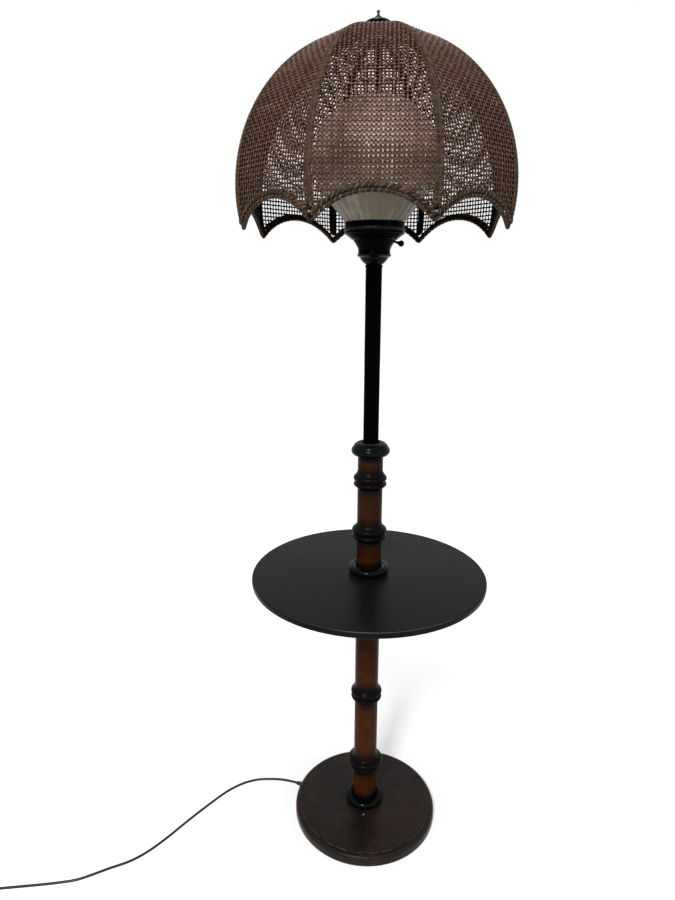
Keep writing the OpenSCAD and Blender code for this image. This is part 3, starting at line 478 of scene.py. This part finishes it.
# painted highlight: a thin light-grey line along the upper edge, at the front, standing in for the
# softbox's glint on the rounded edge
table_r, table_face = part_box("table_top")[1][0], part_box("table_top")[1][2]
out, apart = round_the_axis(tree, place)
edge_wear_and_highlight = add(tree, "MapRange", {"Value": out, "From Min": table_r - 0.0017, "From Max": table_r - 0.0008})
front = add(tree, "MapRange", {"Value": apart[1], "From Min": -0.2, "From Max": -0.13,
                               "To Min": 1, "To Max": 0})
high = add(tree, "MapRange", {"Value": apart[2], "From Min": table_face - 0.0011,
                              "From Max": table_face - 0.0004})
for share in (front, high, wiped):
    edge_wear_and_highlight = add(tree, "Math", {"operation": "MULTIPLY", 0: edge_wear_and_highlight, 1: share})
tint = add(tree, "Mix", {"data_type": "RGBA", 0: edge_wear_and_highlight, 6: tint, 7: linear("#8c8e92")}, 2)
add(tree, "OutputMaterial", {"Surface": add(tree, "BsdfPrincipled", {
    "Base Color": add(tree, "Mix", {"data_type": "RGBA", 0: dust, 6: tint, 7: linear("#4a4a4a")}, 2),
    "Roughness": add(tree, "MapRange", {"Value": grained, "From Min": 0.5, "From Max": 1.0,
                                        "To Min": 0.26, "To Max": 0.44}),
    "IOR": 1.5, "Specular IOR Level": 0.05,
    "Normal": add(tree, "Bump", {"Height": grain, "Strength": 0.32, "Distance": 0.0004})})})
dress(satin, "table_top")

# ---- Top collar and reeded tube ----------------------------------------------------------------------
# A fat round collar takes the drawn tube. The collar's rolled outside is glossy, its dished top dull
# with dust and painted a lighter grey, part dust and part painted light where it faces up; the tube has
# about twenty reeds, so that it shows as a dark bundle of fine lines.
dished, tree, place = new_finish("enamel_with_dust_and_lit_top")
marks = add(tree, "TexNoise", {"Vector": place, "Scale": 40, "Detail": 5, "Roughness": 0.65})
facing = add(tree, "SeparateXYZ", {"Vector": add(tree, "NewGeometry", {}, 1)}, 2)
height = add(tree, "SeparateXYZ", {"Vector": place}, 2)
# dust and painted light: lighter grey and rougher where the top faces up
dust_and_lit_top = add(tree, "MapRange", {"Value": facing, "From Min": 0.86, "From Max": 0.97,
                               "interpolation_type": "SMOOTHSTEP"})
collar_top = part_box("top_collar")[1][2]
high = add(tree, "MapRange", {"Value": height, "From Min": collar_top - 0.0055,
                              "From Max": collar_top - 0.0035})
patchy = add(tree, "MapRange", {"Value": marks, "From Min": 0.2, "From Max": 0.8, "To Min": 0.6,
                                "To Max": 1.0})
for share in (high, patchy):
    dust_and_lit_top = add(tree, "Math", {"operation": "MULTIPLY", 0: dust_and_lit_top, 1: share})
add(tree, "OutputMaterial", {"Surface": add(tree, "BsdfPrincipled", {
    "Base Color": add(tree, "Mix", {"data_type": "RGBA", 0: dust_and_lit_top, 6: linear("#08090a"),
                                    7: linear("#332f2d")}, 2),
    "Roughness": add(tree, "MapRange", {"Value": dust_and_lit_top, "To Min": 0.2, "To Max": 0.6}),
    "IOR": 1.5, "Specular IOR Level": 0.055})})
dress(dished, "top_collar")

# Stoved black on drawn metal: a thin, nearly matt film, a little rubbed
stoved, tree, place = new_finish("stoved_black_enamel")
film = add(tree, "TexNoise", {"Vector": place, "Scale": 60, "Detail": 6, "Roughness": 0.65})
add(tree, "OutputMaterial", {"Surface": add(tree, "BsdfPrincipled", {
    "Base Color": add(tree, "ValToRGB", {0: film, "stops": [(0.3, "#010101"), (0.7, "#030303")]}),
    "Roughness": add(tree, "MapRange", {"Value": film, "From Min": 0.3, "From Max": 0.7,
                                        "To Min": 0.22, "To Max": 0.34}),
    "IOR": 1.5, "Specular IOR Level": 0.006})})
dress(stoved, "reeded_tube", "tube_ring", "shade_rod")

# ---- Fluted cup, glass holder and switch --------------------------------------------------------------
# A cast fluted cup carries the spun holder for the glass, with its three fine steps, eight vent holes
# and a knurled line below the rim. The ball of the switch stands out to the right on a thin stem.
spun, tree, place = new_finish("spun_metal_black_enamel")
film = add(tree, "TexNoise", {"Vector": place, "Scale": 48, "Detail": 6, "Roughness": 0.65})
rings = add(tree, "TexWave", {"Vector": place, "bands_direction": "Z", "Scale": 260, "Distortion": 0.6,
                              "Detail": 2})
add(tree, "OutputMaterial", {"Surface": add(tree, "BsdfPrincipled", {
    "Base Color": add(tree, "ValToRGB", {0: film, "stops": [(0.3, "#010101"), (0.7, "#040404")]}),
    "Roughness": add(tree, "MapRange", {"Value": film, "From Min": 0.3, "From Max": 0.7,
                                        "To Min": 0.16, "To Max": 0.3}),
    "IOR": 1.5, "Specular IOR Level": 0.014,
    "Normal": add(tree, "Bump", {"Height": rings, "Strength": 0.05, "Distance": 0.0002})})})
dress(spun, "glass_holder", "switch_knob")

# Cast cup: the same black, glossier, so that the edges of the flutes catch light
dress(mottled("cast_metal_gloss_enamel", 90, 5, "#020202", "#050505", (0.1, 0.2), None,
              {"IOR": 1.5, "Specular IOR Level": 0.06}), "fluted_cup")


def band_faces(rings, steps, closed=False):
    """Faces between neighbouring rings of a turned form, whose outlines have that many corners. The
    last ring joins the first and, where the outline is closed, so do its ends."""
    spans = range(steps if closed else steps - 1)
    return [[i * steps + j, (i + 1) % rings * steps + j, (i + 1) % rings * steps + (j + 1) % steps,
             i * steps + (j + 1) % steps] for i in range(rings) for j in spans]


# Knurl: 88 rounded teeth 3.4 mm apart, rolled into the rim and worn to a low shine
knurls, tooth_rings = 88, 4
holder_r, _, holder_top = (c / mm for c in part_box("glass_holder")[1])
knurl_foot = holder_top - 12.6
outlines = []
for i in range(knurls * tooth_rings):
    proud = (0.1, 0.55, 0.7, 0.55)[i % tooth_rings]
    outlines.append([polar(holder_r + r, math.tau * i / (knurls * tooth_rings), knurl_foot + z)
                     for r, z in ((-0.1, 0), (proud, 0.8), (proud, 4.0), (-0.1, 4.8))])
rolled_knurl = mottled("worn_rolled_knurl", 150, 4, "#050505", "#0b0a0a", (0.16, 0.3), None,
                       {"IOR": 1.5, "Specular IOR Level": 0.12})
make_piece("holder_knurl", [(np.array(outlines).reshape(-1, 3), band_faces(len(outlines), 4), 0.5)],
           rolled_knurl, "stand")

# ---- Lamps under the glass -----------------------------------------------------------------------------
# Two small lamp-holders on a cast brass body gone brown with heat, with frosted candle lamps: all of
# it behind the glass. The holders are moulded phenolic, dark brown and smooth.
dress(mottled("cast_brass", 120, 5, "#3a2f1c", "#5c4a2b", (0.38, 0.6), None, {"Metallic": 1.0}),
      "lamp_cluster", "switch_bushing", "globe_nut")
dress(mottled("moulded_phenolic", 90, 4, "#120f0d", "#1f1a17", 0.35, None, {"IOR": 1.6}),
      "candle_sockets")

# Lamp caps: aluminium with a rolled thread, bright on its crests
lamp_cap, tree, place = new_finish("rolled_aluminium")
rolled = add(tree, "TexWave", {"Vector": place, "bands_direction": "Z", "Scale": 140})
add(tree, "OutputMaterial", {"Surface": add(tree, "BsdfPrincipled", {
    "Base Color": linear("#b5b5b1"), "Metallic": 1.0,
    "Roughness": add(tree, "MapRange", {"Value": rolled, "To Min": 0.25, "To Max": 0.4}),
    "Normal": add(tree, "Bump", {"Height": rolled, "Strength": 0.6, "Distance": 0.0006})})})
dress(lamp_cap, "bulb_caps")

# Lamp bulbs: glass etched white inside, so that it glows softly in any light
dress(mottled("frosted_lamp_glass", 600, 2, "#e6e3da", "#f4f1e8", 0.55, None,
              {"IOR": 1.5, "Subsurface Weight": 0.3, "Subsurface Radius": (0.004, 0.004, 0.004)}),
      "bulbs")

# ---- Glass globe ---------------------------------------------------------------------------------------
# Pressed milk glass: a globe over a cone with 28 soft pleats, its neck standing in the holder. Cloudy
# grey-green and much darker than milk glass, painted shade for the cane shade's shadow on it, with a
# fire-polished skin and upright streaks from the mould.
milk, tree, place = new_finish("pressed_milk_glass")
tone = add(tree, "Attribute", {"attribute_name": "tone"}, 2)
cloudy = add(tree, "TexNoise", {"Vector": place, "Scale": 14, "Detail": 4})
drawn = add(tree, "TexNoise", {"Vector": add(tree, "Mapping", {"Vector": place, "Scale": (1, 1, 0.2)}),
                               "Scale": 85, "Detail": 3})
mixed = add(tree, "Math", {"operation": "MULTIPLY_ADD", 0: drawn, 1: 0.3, 2: cloudy})
mixed = add(tree, "Math", {"operation": "MULTIPLY_ADD", 0: tone, 1: 0.42, 2: mixed})
mixed = add(tree, "MapRange", {"Value": mixed, "From Max": 1.25})
# the warm, pale top stop, reached from the equator up, is painted light with the cane's reddish glow in it
add(tree, "OutputMaterial", {"Surface": add(tree, "BsdfPrincipled", {
    "Base Color": add(tree, "ValToRGB", {0: mixed, "stops": [(0.3, "#5d5446"), (0.84, "#837b69"),
                                                         (1.0, "#c4b0a0")]}),
    "Roughness": add(tree, "MapRange", {"Value": cloudy, "To Min": 0.2, "To Max": 0.32}),
    "IOR": 1.5, "Specular IOR Level": 0.2, "Subsurface Weight": 0.2,
    "Subsurface Radius": (0.006, 0.0065, 0.005),
    "Normal": add(tree, "Bump", {"Height": drawn, "Strength": 0.12, "Distance": 0.0008})})})

# its outline, from the neck's foot up to the hole at the top, and how deep the pleats are there: a
# neck, a cone that leans out by 38.7 degrees, a tighter curve up to the equator, and the globe
globe_pleats, pleat_rings, pleat_deep = 28, 10, 1.5
globe_r, low_curve_r, neck_r, glass_t, cone_lean = 98, 60, 43.5, 3.0, 38.7
globe_lo, globe_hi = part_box("glass_globe")
equator = globe_hi[2] / mm - globe_r
rise = np.radians(np.concatenate([np.linspace(-cone_lean, 0, 20)[:-1], np.linspace(0, 87.3, 44)]))
side_r = np.where(rise < 0, globe_r - low_curve_r + low_curve_r * np.cos(rise), globe_r * np.cos(rise))
side_z = np.where(rise < 0, low_curve_r, globe_r) * np.sin(rise)
cone_low = side_z[0] - (side_r[0] - neck_r) / math.tan(math.radians(cone_lean))
cone = np.linspace(0, 1, 14)
out_r = np.concatenate([[neck_r, neck_r], neck_r + (side_r[0] - neck_r) * cone[:-1], side_r])
out_z = np.concatenate([[globe_lo[2] / mm - equator, cone_low - 1.5], cone_low
                        + (side_z[0] - cone_low) * cone[:-1], side_z])
deep = pleat_deep * np.clip((out_z - cone_low) / 8, 0, 1) * np.clip((2 - out_z) / 26, 0, 1)
rim_walk = np.concatenate([np.arange(len(out_r)), np.arange(len(out_r))[::-1]])
inner = np.arange(len(rim_walk)) >= len(out_r)
wall = np.where(inner, glass_t, 0)
walk_r, walk_z, walk_deep = out_r[rim_walk] - wall, out_z[rim_walk], np.where(inner, 0, deep[rim_walk])
around = globe_pleats * pleat_rings
corners, tones = [], []
for i in range(around):
    furrow = 1 - abs(math.cos(math.pi * i / pleat_rings)) ** 9      # narrow ridges, wide furrows
    corners.append([polar(r - d * furrow, math.tau * i / around, z + equator)
                    for r, z, d in zip(walk_r, walk_z, walk_deep)])
    # painted shade darker in the furrows, and painted light paler from the equator up, where the cane
    # shade keeps the glass dark
    tones.append([0.72 - 0.22 * furrow * d / pleat_deep + 0.9 * min(max(z / 20, 0), 1)
                  for d, z in zip(walk_deep, walk_z)])
make_piece("pleated_globe", [(np.array(corners).reshape(-1, 3), band_faces(around, len(walk_r), True),
                              np.array(tones).ravel())], milk, "stand", ["glass_globe"])

# ---- Shade frame ---------------------------------------------------------------------------------------
# Eight flat ribs of steel strip welded to the hub, and a flat strip along each scallop, brushed with
# dark lacquer. They show inside the shade as black bands about 6 mm wide.
dress(mottled("lacquered_steel_strip", 150, 5, "#060403", "#0e0a08", (0.35, 0.6), (0.2, 0.0004),
              {"Specular IOR Level": 0.06}), "shade_ribs", "shade_rim_wire")

# ---- Woven panels --------------------------------------------------------------------------------------
# Eight gores of plain-woven cane, each bent one way only. Round upright strands and flatter cross ones
# lie about 6 mm apart, the uprights parallel to the gore's middle and cut off at the seams.
panels = 8
half_gore = math.pi / panels
shade_turn = math.radians(-3)
column_pitch, upright_half, cross_half, lift = 5.85, 1.38, 1.5, 1.05

# the gore's middle line, from the hub down: an arc about a point beyond the axis, then the skirt's
shade_r, wide_z, rib_arc_r, skirt_arc_r = 217, 1155, 231, 210
turn = np.radians(np.concatenate([np.linspace(82.538, 0, 300), np.linspace(0, -16.602, 60)[1:]]))
arc_r = np.where(turn >= 0, rib_arc_r, skirt_arc_r)
rib_r = shade_r - arc_r + arc_r * np.cos(turn)
line_z = wide_z + arc_r * np.sin(turn)
line_x = rib_r * math.cos(half_gore)
half_w = rib_r * math.sin(half_gore)
line_s = np.concatenate([[0], np.cumsum(np.hypot(np.diff(line_x), np.diff(line_z)))])
slope = np.stack([np.gradient(line_x, line_s), np.gradient(line_z, line_s)], 1)
slope /= np.linalg.norm(slope, axis=1)[:, None]
arch_r, arch_z = 101.728, 1031.772      # the scallop's arc, and the height of its middle

# the cross strands are beaten closer at the top, 5.6 mm apart, than at the rim, 6.9 mm, and all of
# the strands are a sixth thinner there, so that the weave opens towards the rim
rows = [2.8]
while rows[-1] < line_s[-1]:
    rows.append(rows[-1] + 5.6 + 1.3 * (rows[-1] / 390) ** 2)
rows = np.array(rows)


def on_gore(s, u, off, k):
    """Points of gore k, s down its middle line, u sideways and off outside it, and the way out there."""
    s, u, off = np.broadcast_arrays(np.asarray(s, float), u, off)
    tx, tz = np.interp(s, line_s, slope[:, 0]), np.interp(s, line_s, slope[:, 1])
    x, z = np.interp(s, line_s, line_x) - off * tz, np.interp(s, line_s, line_z) + off * tx
    a = shade_turn + 2 * half_gore * k
    c, d = math.cos(a), math.sin(a)
    return (np.stack([x * c - u * d, x * d + u * c, z], -1),
            np.stack([-tz * c, -tz * d, tx], -1))


def width_at(s):
    """Half the width of a gore, s down its middle line."""
    return np.interp(s, line_s, half_w)


def under_arch(s, u, r):
    """Whether a place lies under a scallop of radius r, where there is no cane."""
    return u ** 2 + (np.interp(s, line_s, line_z) - arch_z) ** 2 < r ** 2


def runs(places, kept):
    """The stretches of places that are kept."""
    found, now = [], []
    for place_here, keep in zip(places, kept):
        if keep:
            now.append(place_here)
        elif now:
            found.append(now)
            now = []
    return [r for r in found + [now] if len(r) > 1 and r[-1] - r[0] > 4]


def painted_front_sheen(s, u, wave):
    """How much the painted sheen lightens a strand there: the most a little above the arch, and on the
    tops of its floats.
    """
    near = np.exp(-((s - 272) / 62) ** 2 - ((u - 10) / 52) ** 2)
    return near * (0.1 + 0.27 * np.maximum(wave, 0))


def strand_width(half, s):
    """Half the width of one strand, no two the same, and thinner towards the rim."""
    return half * chance.uniform(0.93, 1.07) * (1 - 0.16 * s / line_s[-1])


def stations(run, rings):
    """Where a strand has its rings: its ends, and each crossing and half way between them."""
    inner = rings[(rings > run[0] + 0.6) & (rings < run[-1] - 0.6)]
    return np.concatenate([[run[0]], inner, [run[-1]]])


# Cane: split, stained red-brown and varnished. Mottled, with a tone of its own for each strand, and
# painted light and shade: lighter on top of a float and darker where it dips, where the staining also
# gathers, and near black on its side towards the lamps, painted shade for the dark inside of the shade.
cane, tree, place = new_finish("stained_split_cane")
tone = add(tree, "Attribute", {"attribute_name": "tone"}, 2)
mottle = add(tree, "TexNoise", {"Vector": place, "Scale": 60, "Detail": 5, "Roughness": 0.65})
fleck = add(tree, "TexNoise", {"Vector": place, "Scale": 420, "Detail": 3})
mixed = add(tree, "Math", {"operation": "MULTIPLY_ADD", 0: mottle, 1: 0.55, 2: tone})
mixed = add(tree, "Math", {"operation": "MULTIPLY_ADD", 0: fleck, 1: 0.35, 2: mixed})
# its palest, greyish stop is reached where the painted sheen and the painted float highlights are
# strongest
stain_and_painted_light = add(tree, "ValToRGB", {0: add(tree, "MapRange", {"Value": mixed, "From Min": 0.35,
                                                         "From Max": 1.5}),
                               "stops": [(0.0, "#0c0502"), (0.3, "#27140c"), (0.55, "#452919"),
                                         (0.75, "#684735"), (1.0, "#b8a79d")]})


def outer_side(tree, place, low, high):
    """0 on a strand's side towards the lamps inside the shade and 1 on its outer side."""
    from_lamps = add(tree, "VectorMath", {"operation": "SUBTRACT", 0: place, 1: (0, 0, 1.13)})
    from_lamps = add(tree, "VectorMath", {"operation": "NORMALIZE", 0: from_lamps})
    outward = add(tree, "VectorMath", {"operation": "DOT_PRODUCT", 0: from_lamps,
                                       1: add(tree, "NewGeometry", {}, 1)}, 1)
    return add(tree, "MapRange", {"Value": outward, "From Min": low, "From Max": high})


# painted shade: the side of each strand towards the lamps is drawn near black
outer = outer_side(tree, place, -0.35, 0.25)
colour = add(tree, "Mix", {"data_type": "RGBA", 0: outer, 6: linear("#070302"), 7: stain_and_painted_light}, 2)
dull = add(tree, "MapRange", {"Value": fleck, "From Min": 0.3, "From Max": 0.7, "To Min": 0.16,
                              "To Max": 0.28})
dull = add(tree, "Mix", {0: outer, 2: 0.8, 3: dull})
add(tree, "OutputMaterial", {"Surface": add(tree, "BsdfPrincipled", {
    "Base Color": colour, "IOR": 1.5, "Specular IOR Level": 0.13, "Roughness": dull,
    "Normal": add(tree, "Bump", {"Height": fleck, "Strength": 0.25, "Distance": 0.0004})})})

chance = np.random.default_rng(41)
fine = np.arange(0, line_s[-1], 0.25)
row_rings = np.sort(np.concatenate([rows, (rows[1:] + rows[:-1]) / 2]))
column_rings = np.arange(-40, 41) * column_pitch / 2
rim_room = 4                                # the cane ends that far over the scallop's edge
sideways, inwards = 0.09, 0.05              # how unevenly the strands lie
front_gore, columns_aside = 6, 14
for k in range(panels):
    parts = []
    # painted sheen: the floats of the gore turned to the room are lightened, most of all a little above
    # its arch
    front_sheen_share = 1.0 * (k == front_gore)
    for i in range(-columns_aside, columns_aside + 1):
        u = i * column_pitch
        kept = (width_at(fine) > abs(u) + upright_half + 0.4) & ~under_arch(fine, u, arch_r + rim_room)
        shade_of_strand = chance.normal(0.5, 0.055)
        for run in runs(fine, kept):
            s = stations(run, row_rings)
            wave = np.cos(math.pi * (np.interp(s, rows, np.arange(len(rows))) + i))
            side = u + chance.normal(0, sideways, len(s))
            middles, outs = on_gore(s, side, lift * wave + chance.normal(0, inwards, len(s)), k)
            # the wave term is painted highlight on the tops of the floats and painted shade in the dips
            tones = shade_of_strand + 0.2 * wave + front_sheen_share * painted_front_sheen(s, side, wave)
            parts.append((*sweep(middles, outs, strand_width(upright_half, s), 0.95, 6),
                          np.repeat(tones, 6)))
    for j, s_here in enumerate(rows[:-1]):
        edge = float(width_at(s_here)) - 0.6
        across = np.arange(-edge, edge + 0.001, 2 * edge / max(2, round(2 * edge / 0.25)))
        kept = ~under_arch(np.full(len(across), s_here), across, arch_r + rim_room)
        shade_of_strand = chance.normal(0.46, 0.055)
        for run in runs(across, kept):
            u = stations(run, column_rings)
            wave = -np.cos(math.pi * (u / column_pitch + j))
            middles, outs = on_gore(s_here + chance.normal(0, sideways, len(u)), u,
                                    lift * wave + chance.normal(0, inwards, len(u)), k)
            wide = strand_width(cross_half, s_here) * (1 + 0.12 * wave)
            # as on the uprights: painted highlight on the floats' tops and painted shade in the dips
            tones = shade_of_strand + 0.28 * wave + front_sheen_share * painted_front_sheen(s_here, u, wave)
            parts.append((*sweep(middles, outs, wide, 0.75, 5), np.repeat(tones, 5)))
    make_piece(f"woven_panel_{k + 1}", parts, cane, "shade", [f"shade_panel_{k + 1}"])

# ---- Seam cords ----------------------------------------------------------------------------------------
# Over each rib two half-round cords lie side by side, wrapped in grey-olive fibre and sewn down through
# the cane every 6 mm with two turns of tan thread, so that they swell like beads between the turns.
# An edging thread runs along each side of a cord. All of it thins out towards the cap, its end.
seam_half, seam_off, seam_gap, stitch_pitch = 2.35, 1.35, 0.2, 6.0


def fibre_tones(tree, place, fibre_scale, fibre_share, patch_scale, patch_share):
    """The noise of single fibres, and that noise and one of wider patches added to the cord's tone."""
    tone = add(tree, "Attribute", {"attribute_name": "tone"}, 2)
    fibre = add(tree, "TexNoise", {"Vector": place, "Scale": fibre_scale, "Detail": 4})
    patch = add(tree, "TexNoise", {"Vector": place, "Scale": patch_scale, "Detail": 2})
    mixed = add(tree, "Math", {"operation": "MULTIPLY_ADD", 0: fibre, 1: fibre_share, 2: tone})
    return fibre, add(tree, "Math", {"operation": "MULTIPLY_ADD", 0: patch, 1: patch_share, 2: mixed})


# Wrapping fibre: waxed, dark olive grey, uneven from bead to bead, with hairline strands
wrapping, tree, place = new_finish("waxed_fibre_wrapping")
fibre, mixed = fibre_tones(tree, place, 380, 0.5, 130, 0.5)
add(tree, "OutputMaterial", {"Surface": add(tree, "BsdfPrincipled", {
    "Base Color": add(tree, "ValToRGB", {0: add(tree, "MapRange", {"Value": mixed, "From Min": 0.5,
                                                                   "From Max": 1.5}),
                                         "stops": [(0.0, "#0d0a08"), (0.45, "#28211b"),
                                                   (1.0, "#564a3c")]}),
    "Roughness": 0.5, "Specular IOR Level": 0.12,
    "Normal": add(tree, "Bump", {"Height": mixed, "Strength": 0.5, "Distance": 0.0006})})})

# Stitching: tan cane thread, lighter than the strands, browner in patches
thread, tree, place = new_finish("tan_cane_thread")
fibre, mixed = fibre_tones(tree, place, 300, 0.4, 90, 0.5)
add(tree, "OutputMaterial", {"Surface": add(tree, "BsdfPrincipled", {
    "Base Color": add(tree, "ValToRGB", {0: add(tree, "MapRange", {"Value": mixed, "From Min": 0.5,
                                                                   "From Max": 1.5}),
                                         "stops": [(0.0, "#2b1b12"), (0.5, "#5a4029"),
                                                   (1.0, "#8b6d4b")]}),
    "Roughness": 0.46, "Specular IOR Level": 0.12,
    "Normal": add(tree, "Bump", {"Height": fibre, "Strength": 0.3, "Distance": 0.0004})})})


def swell(run, step, waist):
    """How full a wrapped cord is along its run: drawn in at each stitch, full between them."""
    away = np.abs((run + step / 2) % step - step / 2)
    return 1 - waist * np.exp(-(away / 1.3) ** 2)


def block_tones(run, step, mean, spread):
    """A tone for each place along a cord, the same between two stitches."""
    return chance.normal(mean, spread, int(run[-1] / step) + 2)[(run / step).astype(int)]


def slim(s):
    """How thick a seam still is there: it thins out towards the cap, over 110 mm."""
    return 0.42 + 0.58 * np.clip((s - 15) / 110, 0, 1)


cords, stitches = [], []
for k in range(panels):
    for side in (-1, 1):
        kept = ~under_arch(fine, width_at(fine) - seam_half - seam_gap, arch_r + 13)
        s = np.arange(2, fine[kept][-1], 1.5)
        thin = slim(s)
        full = swell(s, stitch_pitch, 0.5 if side > 0 else 0.4) * thin
        u = side * (width_at(s) - (seam_half + seam_gap) * thin)
        middles, outs = on_gore(s, u, seam_off * thin, k)
        # painted light and shade: the cord on a gore's +u side is darker and the other lighter, as if one
        # row of each seam lay in shade
        tones = block_tones(s, stitch_pitch, 0.42 if side > 0 else 0.58, 0.12)
        # near the cap the beads are too close to show, and the thread's olive brown takes over
        tones = np.where(s < 70, 0.62, tones)
        cords.append((*sweep(middles, outs, seam_half * full, 1.25 * full, 10), np.repeat(tones, 10)))
        # the edging threads: how far each lies from the seam, and half its width
        for edge, half in ((0.15, 0.4), (4.95, 0.6)):
            run = s[s < s[-1] - 3][::2]
            wander = 0.25 * np.sin(math.tau * run / stitch_pitch) + chance.normal(0, 0.08, len(run))
            middles, outs = on_gore(run, side * (width_at(run) - edge * slim(run)) + wander,
                                    1.25 if edge < 1 else 0.95, k)
            stitches.append((*sweep(middles, outs, half * slim(run) + 0.12, 0.55, 5),
                             np.repeat(chance.normal(0.42, 0.12, len(run)), 5)))
        for at in np.arange(stitch_pitch * 7, s[-1] - 2, stitch_pitch):
            size = slim(at)
            middle_u = side * (width_at(at) - (seam_half + seam_gap) * size)
            shade_of_turn = chance.normal(0.5, 0.14)
            for beside in (-0.42, 0.42):
                a = np.linspace(-0.3, math.pi + 0.3, 8)
                over, up = np.cos(a), np.sin(a)
                middles, outs = on_gore(at + beside + side * 0.9 * over + 0.5 * up,
                                        middle_u + over * seam_half * size, (seam_off + up) * size, k)
                stitches.append((*sweep(middles, outs, 0.45, 0.34, 4),
                                 shade_of_turn + chance.normal(0, 0.06)))
make_piece("seam_cords", cords, wrapping, "shade", ["seam_bindings"])
make_piece("seam_stitches", stitches, thread, "shade", ["seam_bindings"])

# ---- Wrapped rim ---------------------------------------------------------------------------------------
# Two cords along each scallop: the lower one is wrapped round the cane's edge and the steel strip, the
# upper one lies on the cane. Grey-black fibre, lashed every 8 mm with two turns of tan thread, a row half
# a step after the other, and thinner at the tips, where the cords of two scallops meet.

# Rim fibre: as the seams', but darker, and a lighter brown on the side towards the lamps, painted light
# for the dark inside of the shade
rim_fibre, tree, place = new_finish("dark_fibre_wrapping")
fibre, mixed = fibre_tones(tree, place, 340, 0.5, 150, 0.6)
fibrous = add(tree, "ValToRGB", {0: add(tree, "MapRange", {"Value": mixed, "From Min": 0.5,
                                                           "From Max": 1.6}),
                                 "stops": [(0.0, "#0a0705"), (0.45, "#211b16"), (1.0, "#4e4337")]})
# painted light: the side towards the lamps is drawn a lighter brown
outer = outer_side(tree, place, -0.5, -0.2)
add(tree, "OutputMaterial", {"Surface": add(tree, "BsdfPrincipled", {
    "Base Color": add(tree, "Mix", {"data_type": "RGBA", 0: outer, 6: linear("#553618"), 7: fibrous}, 2),
    "Roughness": 0.5, "Specular IOR Level": 0.1,
    "Normal": add(tree, "Bump", {"Height": mixed, "Strength": 0.5, "Distance": 0.0007})})})

lash_pitch, lash_rings = 8.2, 8


def on_scallop(a, r):
    """How far down and sideways a gore's places at angle a are, on a circle of radius r about the
    scallop's middle."""
    return np.interp(-(arch_z + r * np.cos(a)), -line_z, line_s), r * np.sin(a)


cords, lashings = [], []
for k in range(panels):
    # each cord's radius, half its width and height, how far outside the cane's middle it lies, and by
    # what part of a step its lashings are shifted
    for r, half, half_height, off, shift in ((arch_r + 3.2, 3.1, 2.9, -0.5, 0),
                                             (arch_r + 9.2, 3.0, 1.7, 1.9, 0.5)):
        a = np.linspace(-0.9, 0.9, 1801)
        s, u = on_scallop(a, r)
        a = a[np.abs(u) < width_at(s) - seam_gap]
        count = round(r * (a[-1] - a[0]) / lash_pitch) * lash_rings
        a = np.linspace(a[0], a[-1], count + 1)
        run = np.arange(count + 1) * lash_pitch / lash_rings + shift * lash_pitch
        # each cord is drawn in at its lashings and tapers at the tips
        from_end = np.minimum(np.arange(count + 1), count - np.arange(count + 1))
        full = swell(run, lash_pitch, 0.3) * (0.55 + 0.45 * np.clip(from_end / 7, 0, 1))
        middles, outs = on_gore(*on_scallop(a, r), off, k)
        tones = np.repeat(block_tones(run, lash_pitch, 0.42, 0.16), 12)
        cords.append((*sweep(middles, outs, half * full, half_height * full, 12), tones))
        for at in np.arange(lash_pitch * (1 - shift), run[-1] - shift * lash_pitch - 1, lash_pitch):
            shade_of_turn = chance.normal(0.58, 0.12)
            lean = chance.normal(0.02, 0.006)
            for beside in (-0.5, 0.5):
                # the lower cord's turns go further round it than the upper one's
                b = np.linspace(*((-0.75, math.pi + 0.3, 12) if shift == 0 else
                                  (-0.2, math.pi + 0.2, 10)))
                at_b = on_scallop(a[0] + (at + beside) / r + lean * np.cos(b), r + half * 0.88 * np.cos(b))
                middles, outs = on_gore(*at_b, off + (half_height * 0.84 + 0.1) * np.sin(b), k)
                outs = outs + (middles - middles.mean(0)) * 0.3
                lashings.append((*sweep(middles, outs, 0.5, 0.36, 6),
                                 shade_of_turn + chance.normal(0, 0.06)))
make_piece("rim_cords", cords, rim_fibre, "shade", ["rim_binding"])
make_piece("rim_lashings", lashings, thread, "shade", ["rim_binding"])

# ---- Cap and finial ------------------------------------------------------------------------------------
# A pressed domed cap turns with the shade, and a turned finial screws down on the rod. Black patina
# over brass: soft, brown-black, a shade lighter where fingers have rubbed it.
patina, tree, place = new_finish("black_patina_brass")
rubbed = add(tree, "TexNoise", {"Vector": place, "Scale": 130, "Detail": 6, "Roughness": 0.65})
add(tree, "OutputMaterial", {"Surface": add(tree, "BsdfPrincipled", {
    "Base Color": add(tree, "ValToRGB", {0: rubbed, "stops": [(0.35, "#161615"), (0.75, "#343431")]}),
    "Roughness": add(tree, "MapRange", {"Value": rubbed, "To Min": 0.28, "To Max": 0.5}),
    "Specular IOR Level": 0.3,
    "Normal": add(tree, "Bump", {"Height": rubbed, "Strength": 0.1, "Distance": 0.0003})})})
dress(patina, "shade_cap", "finial")
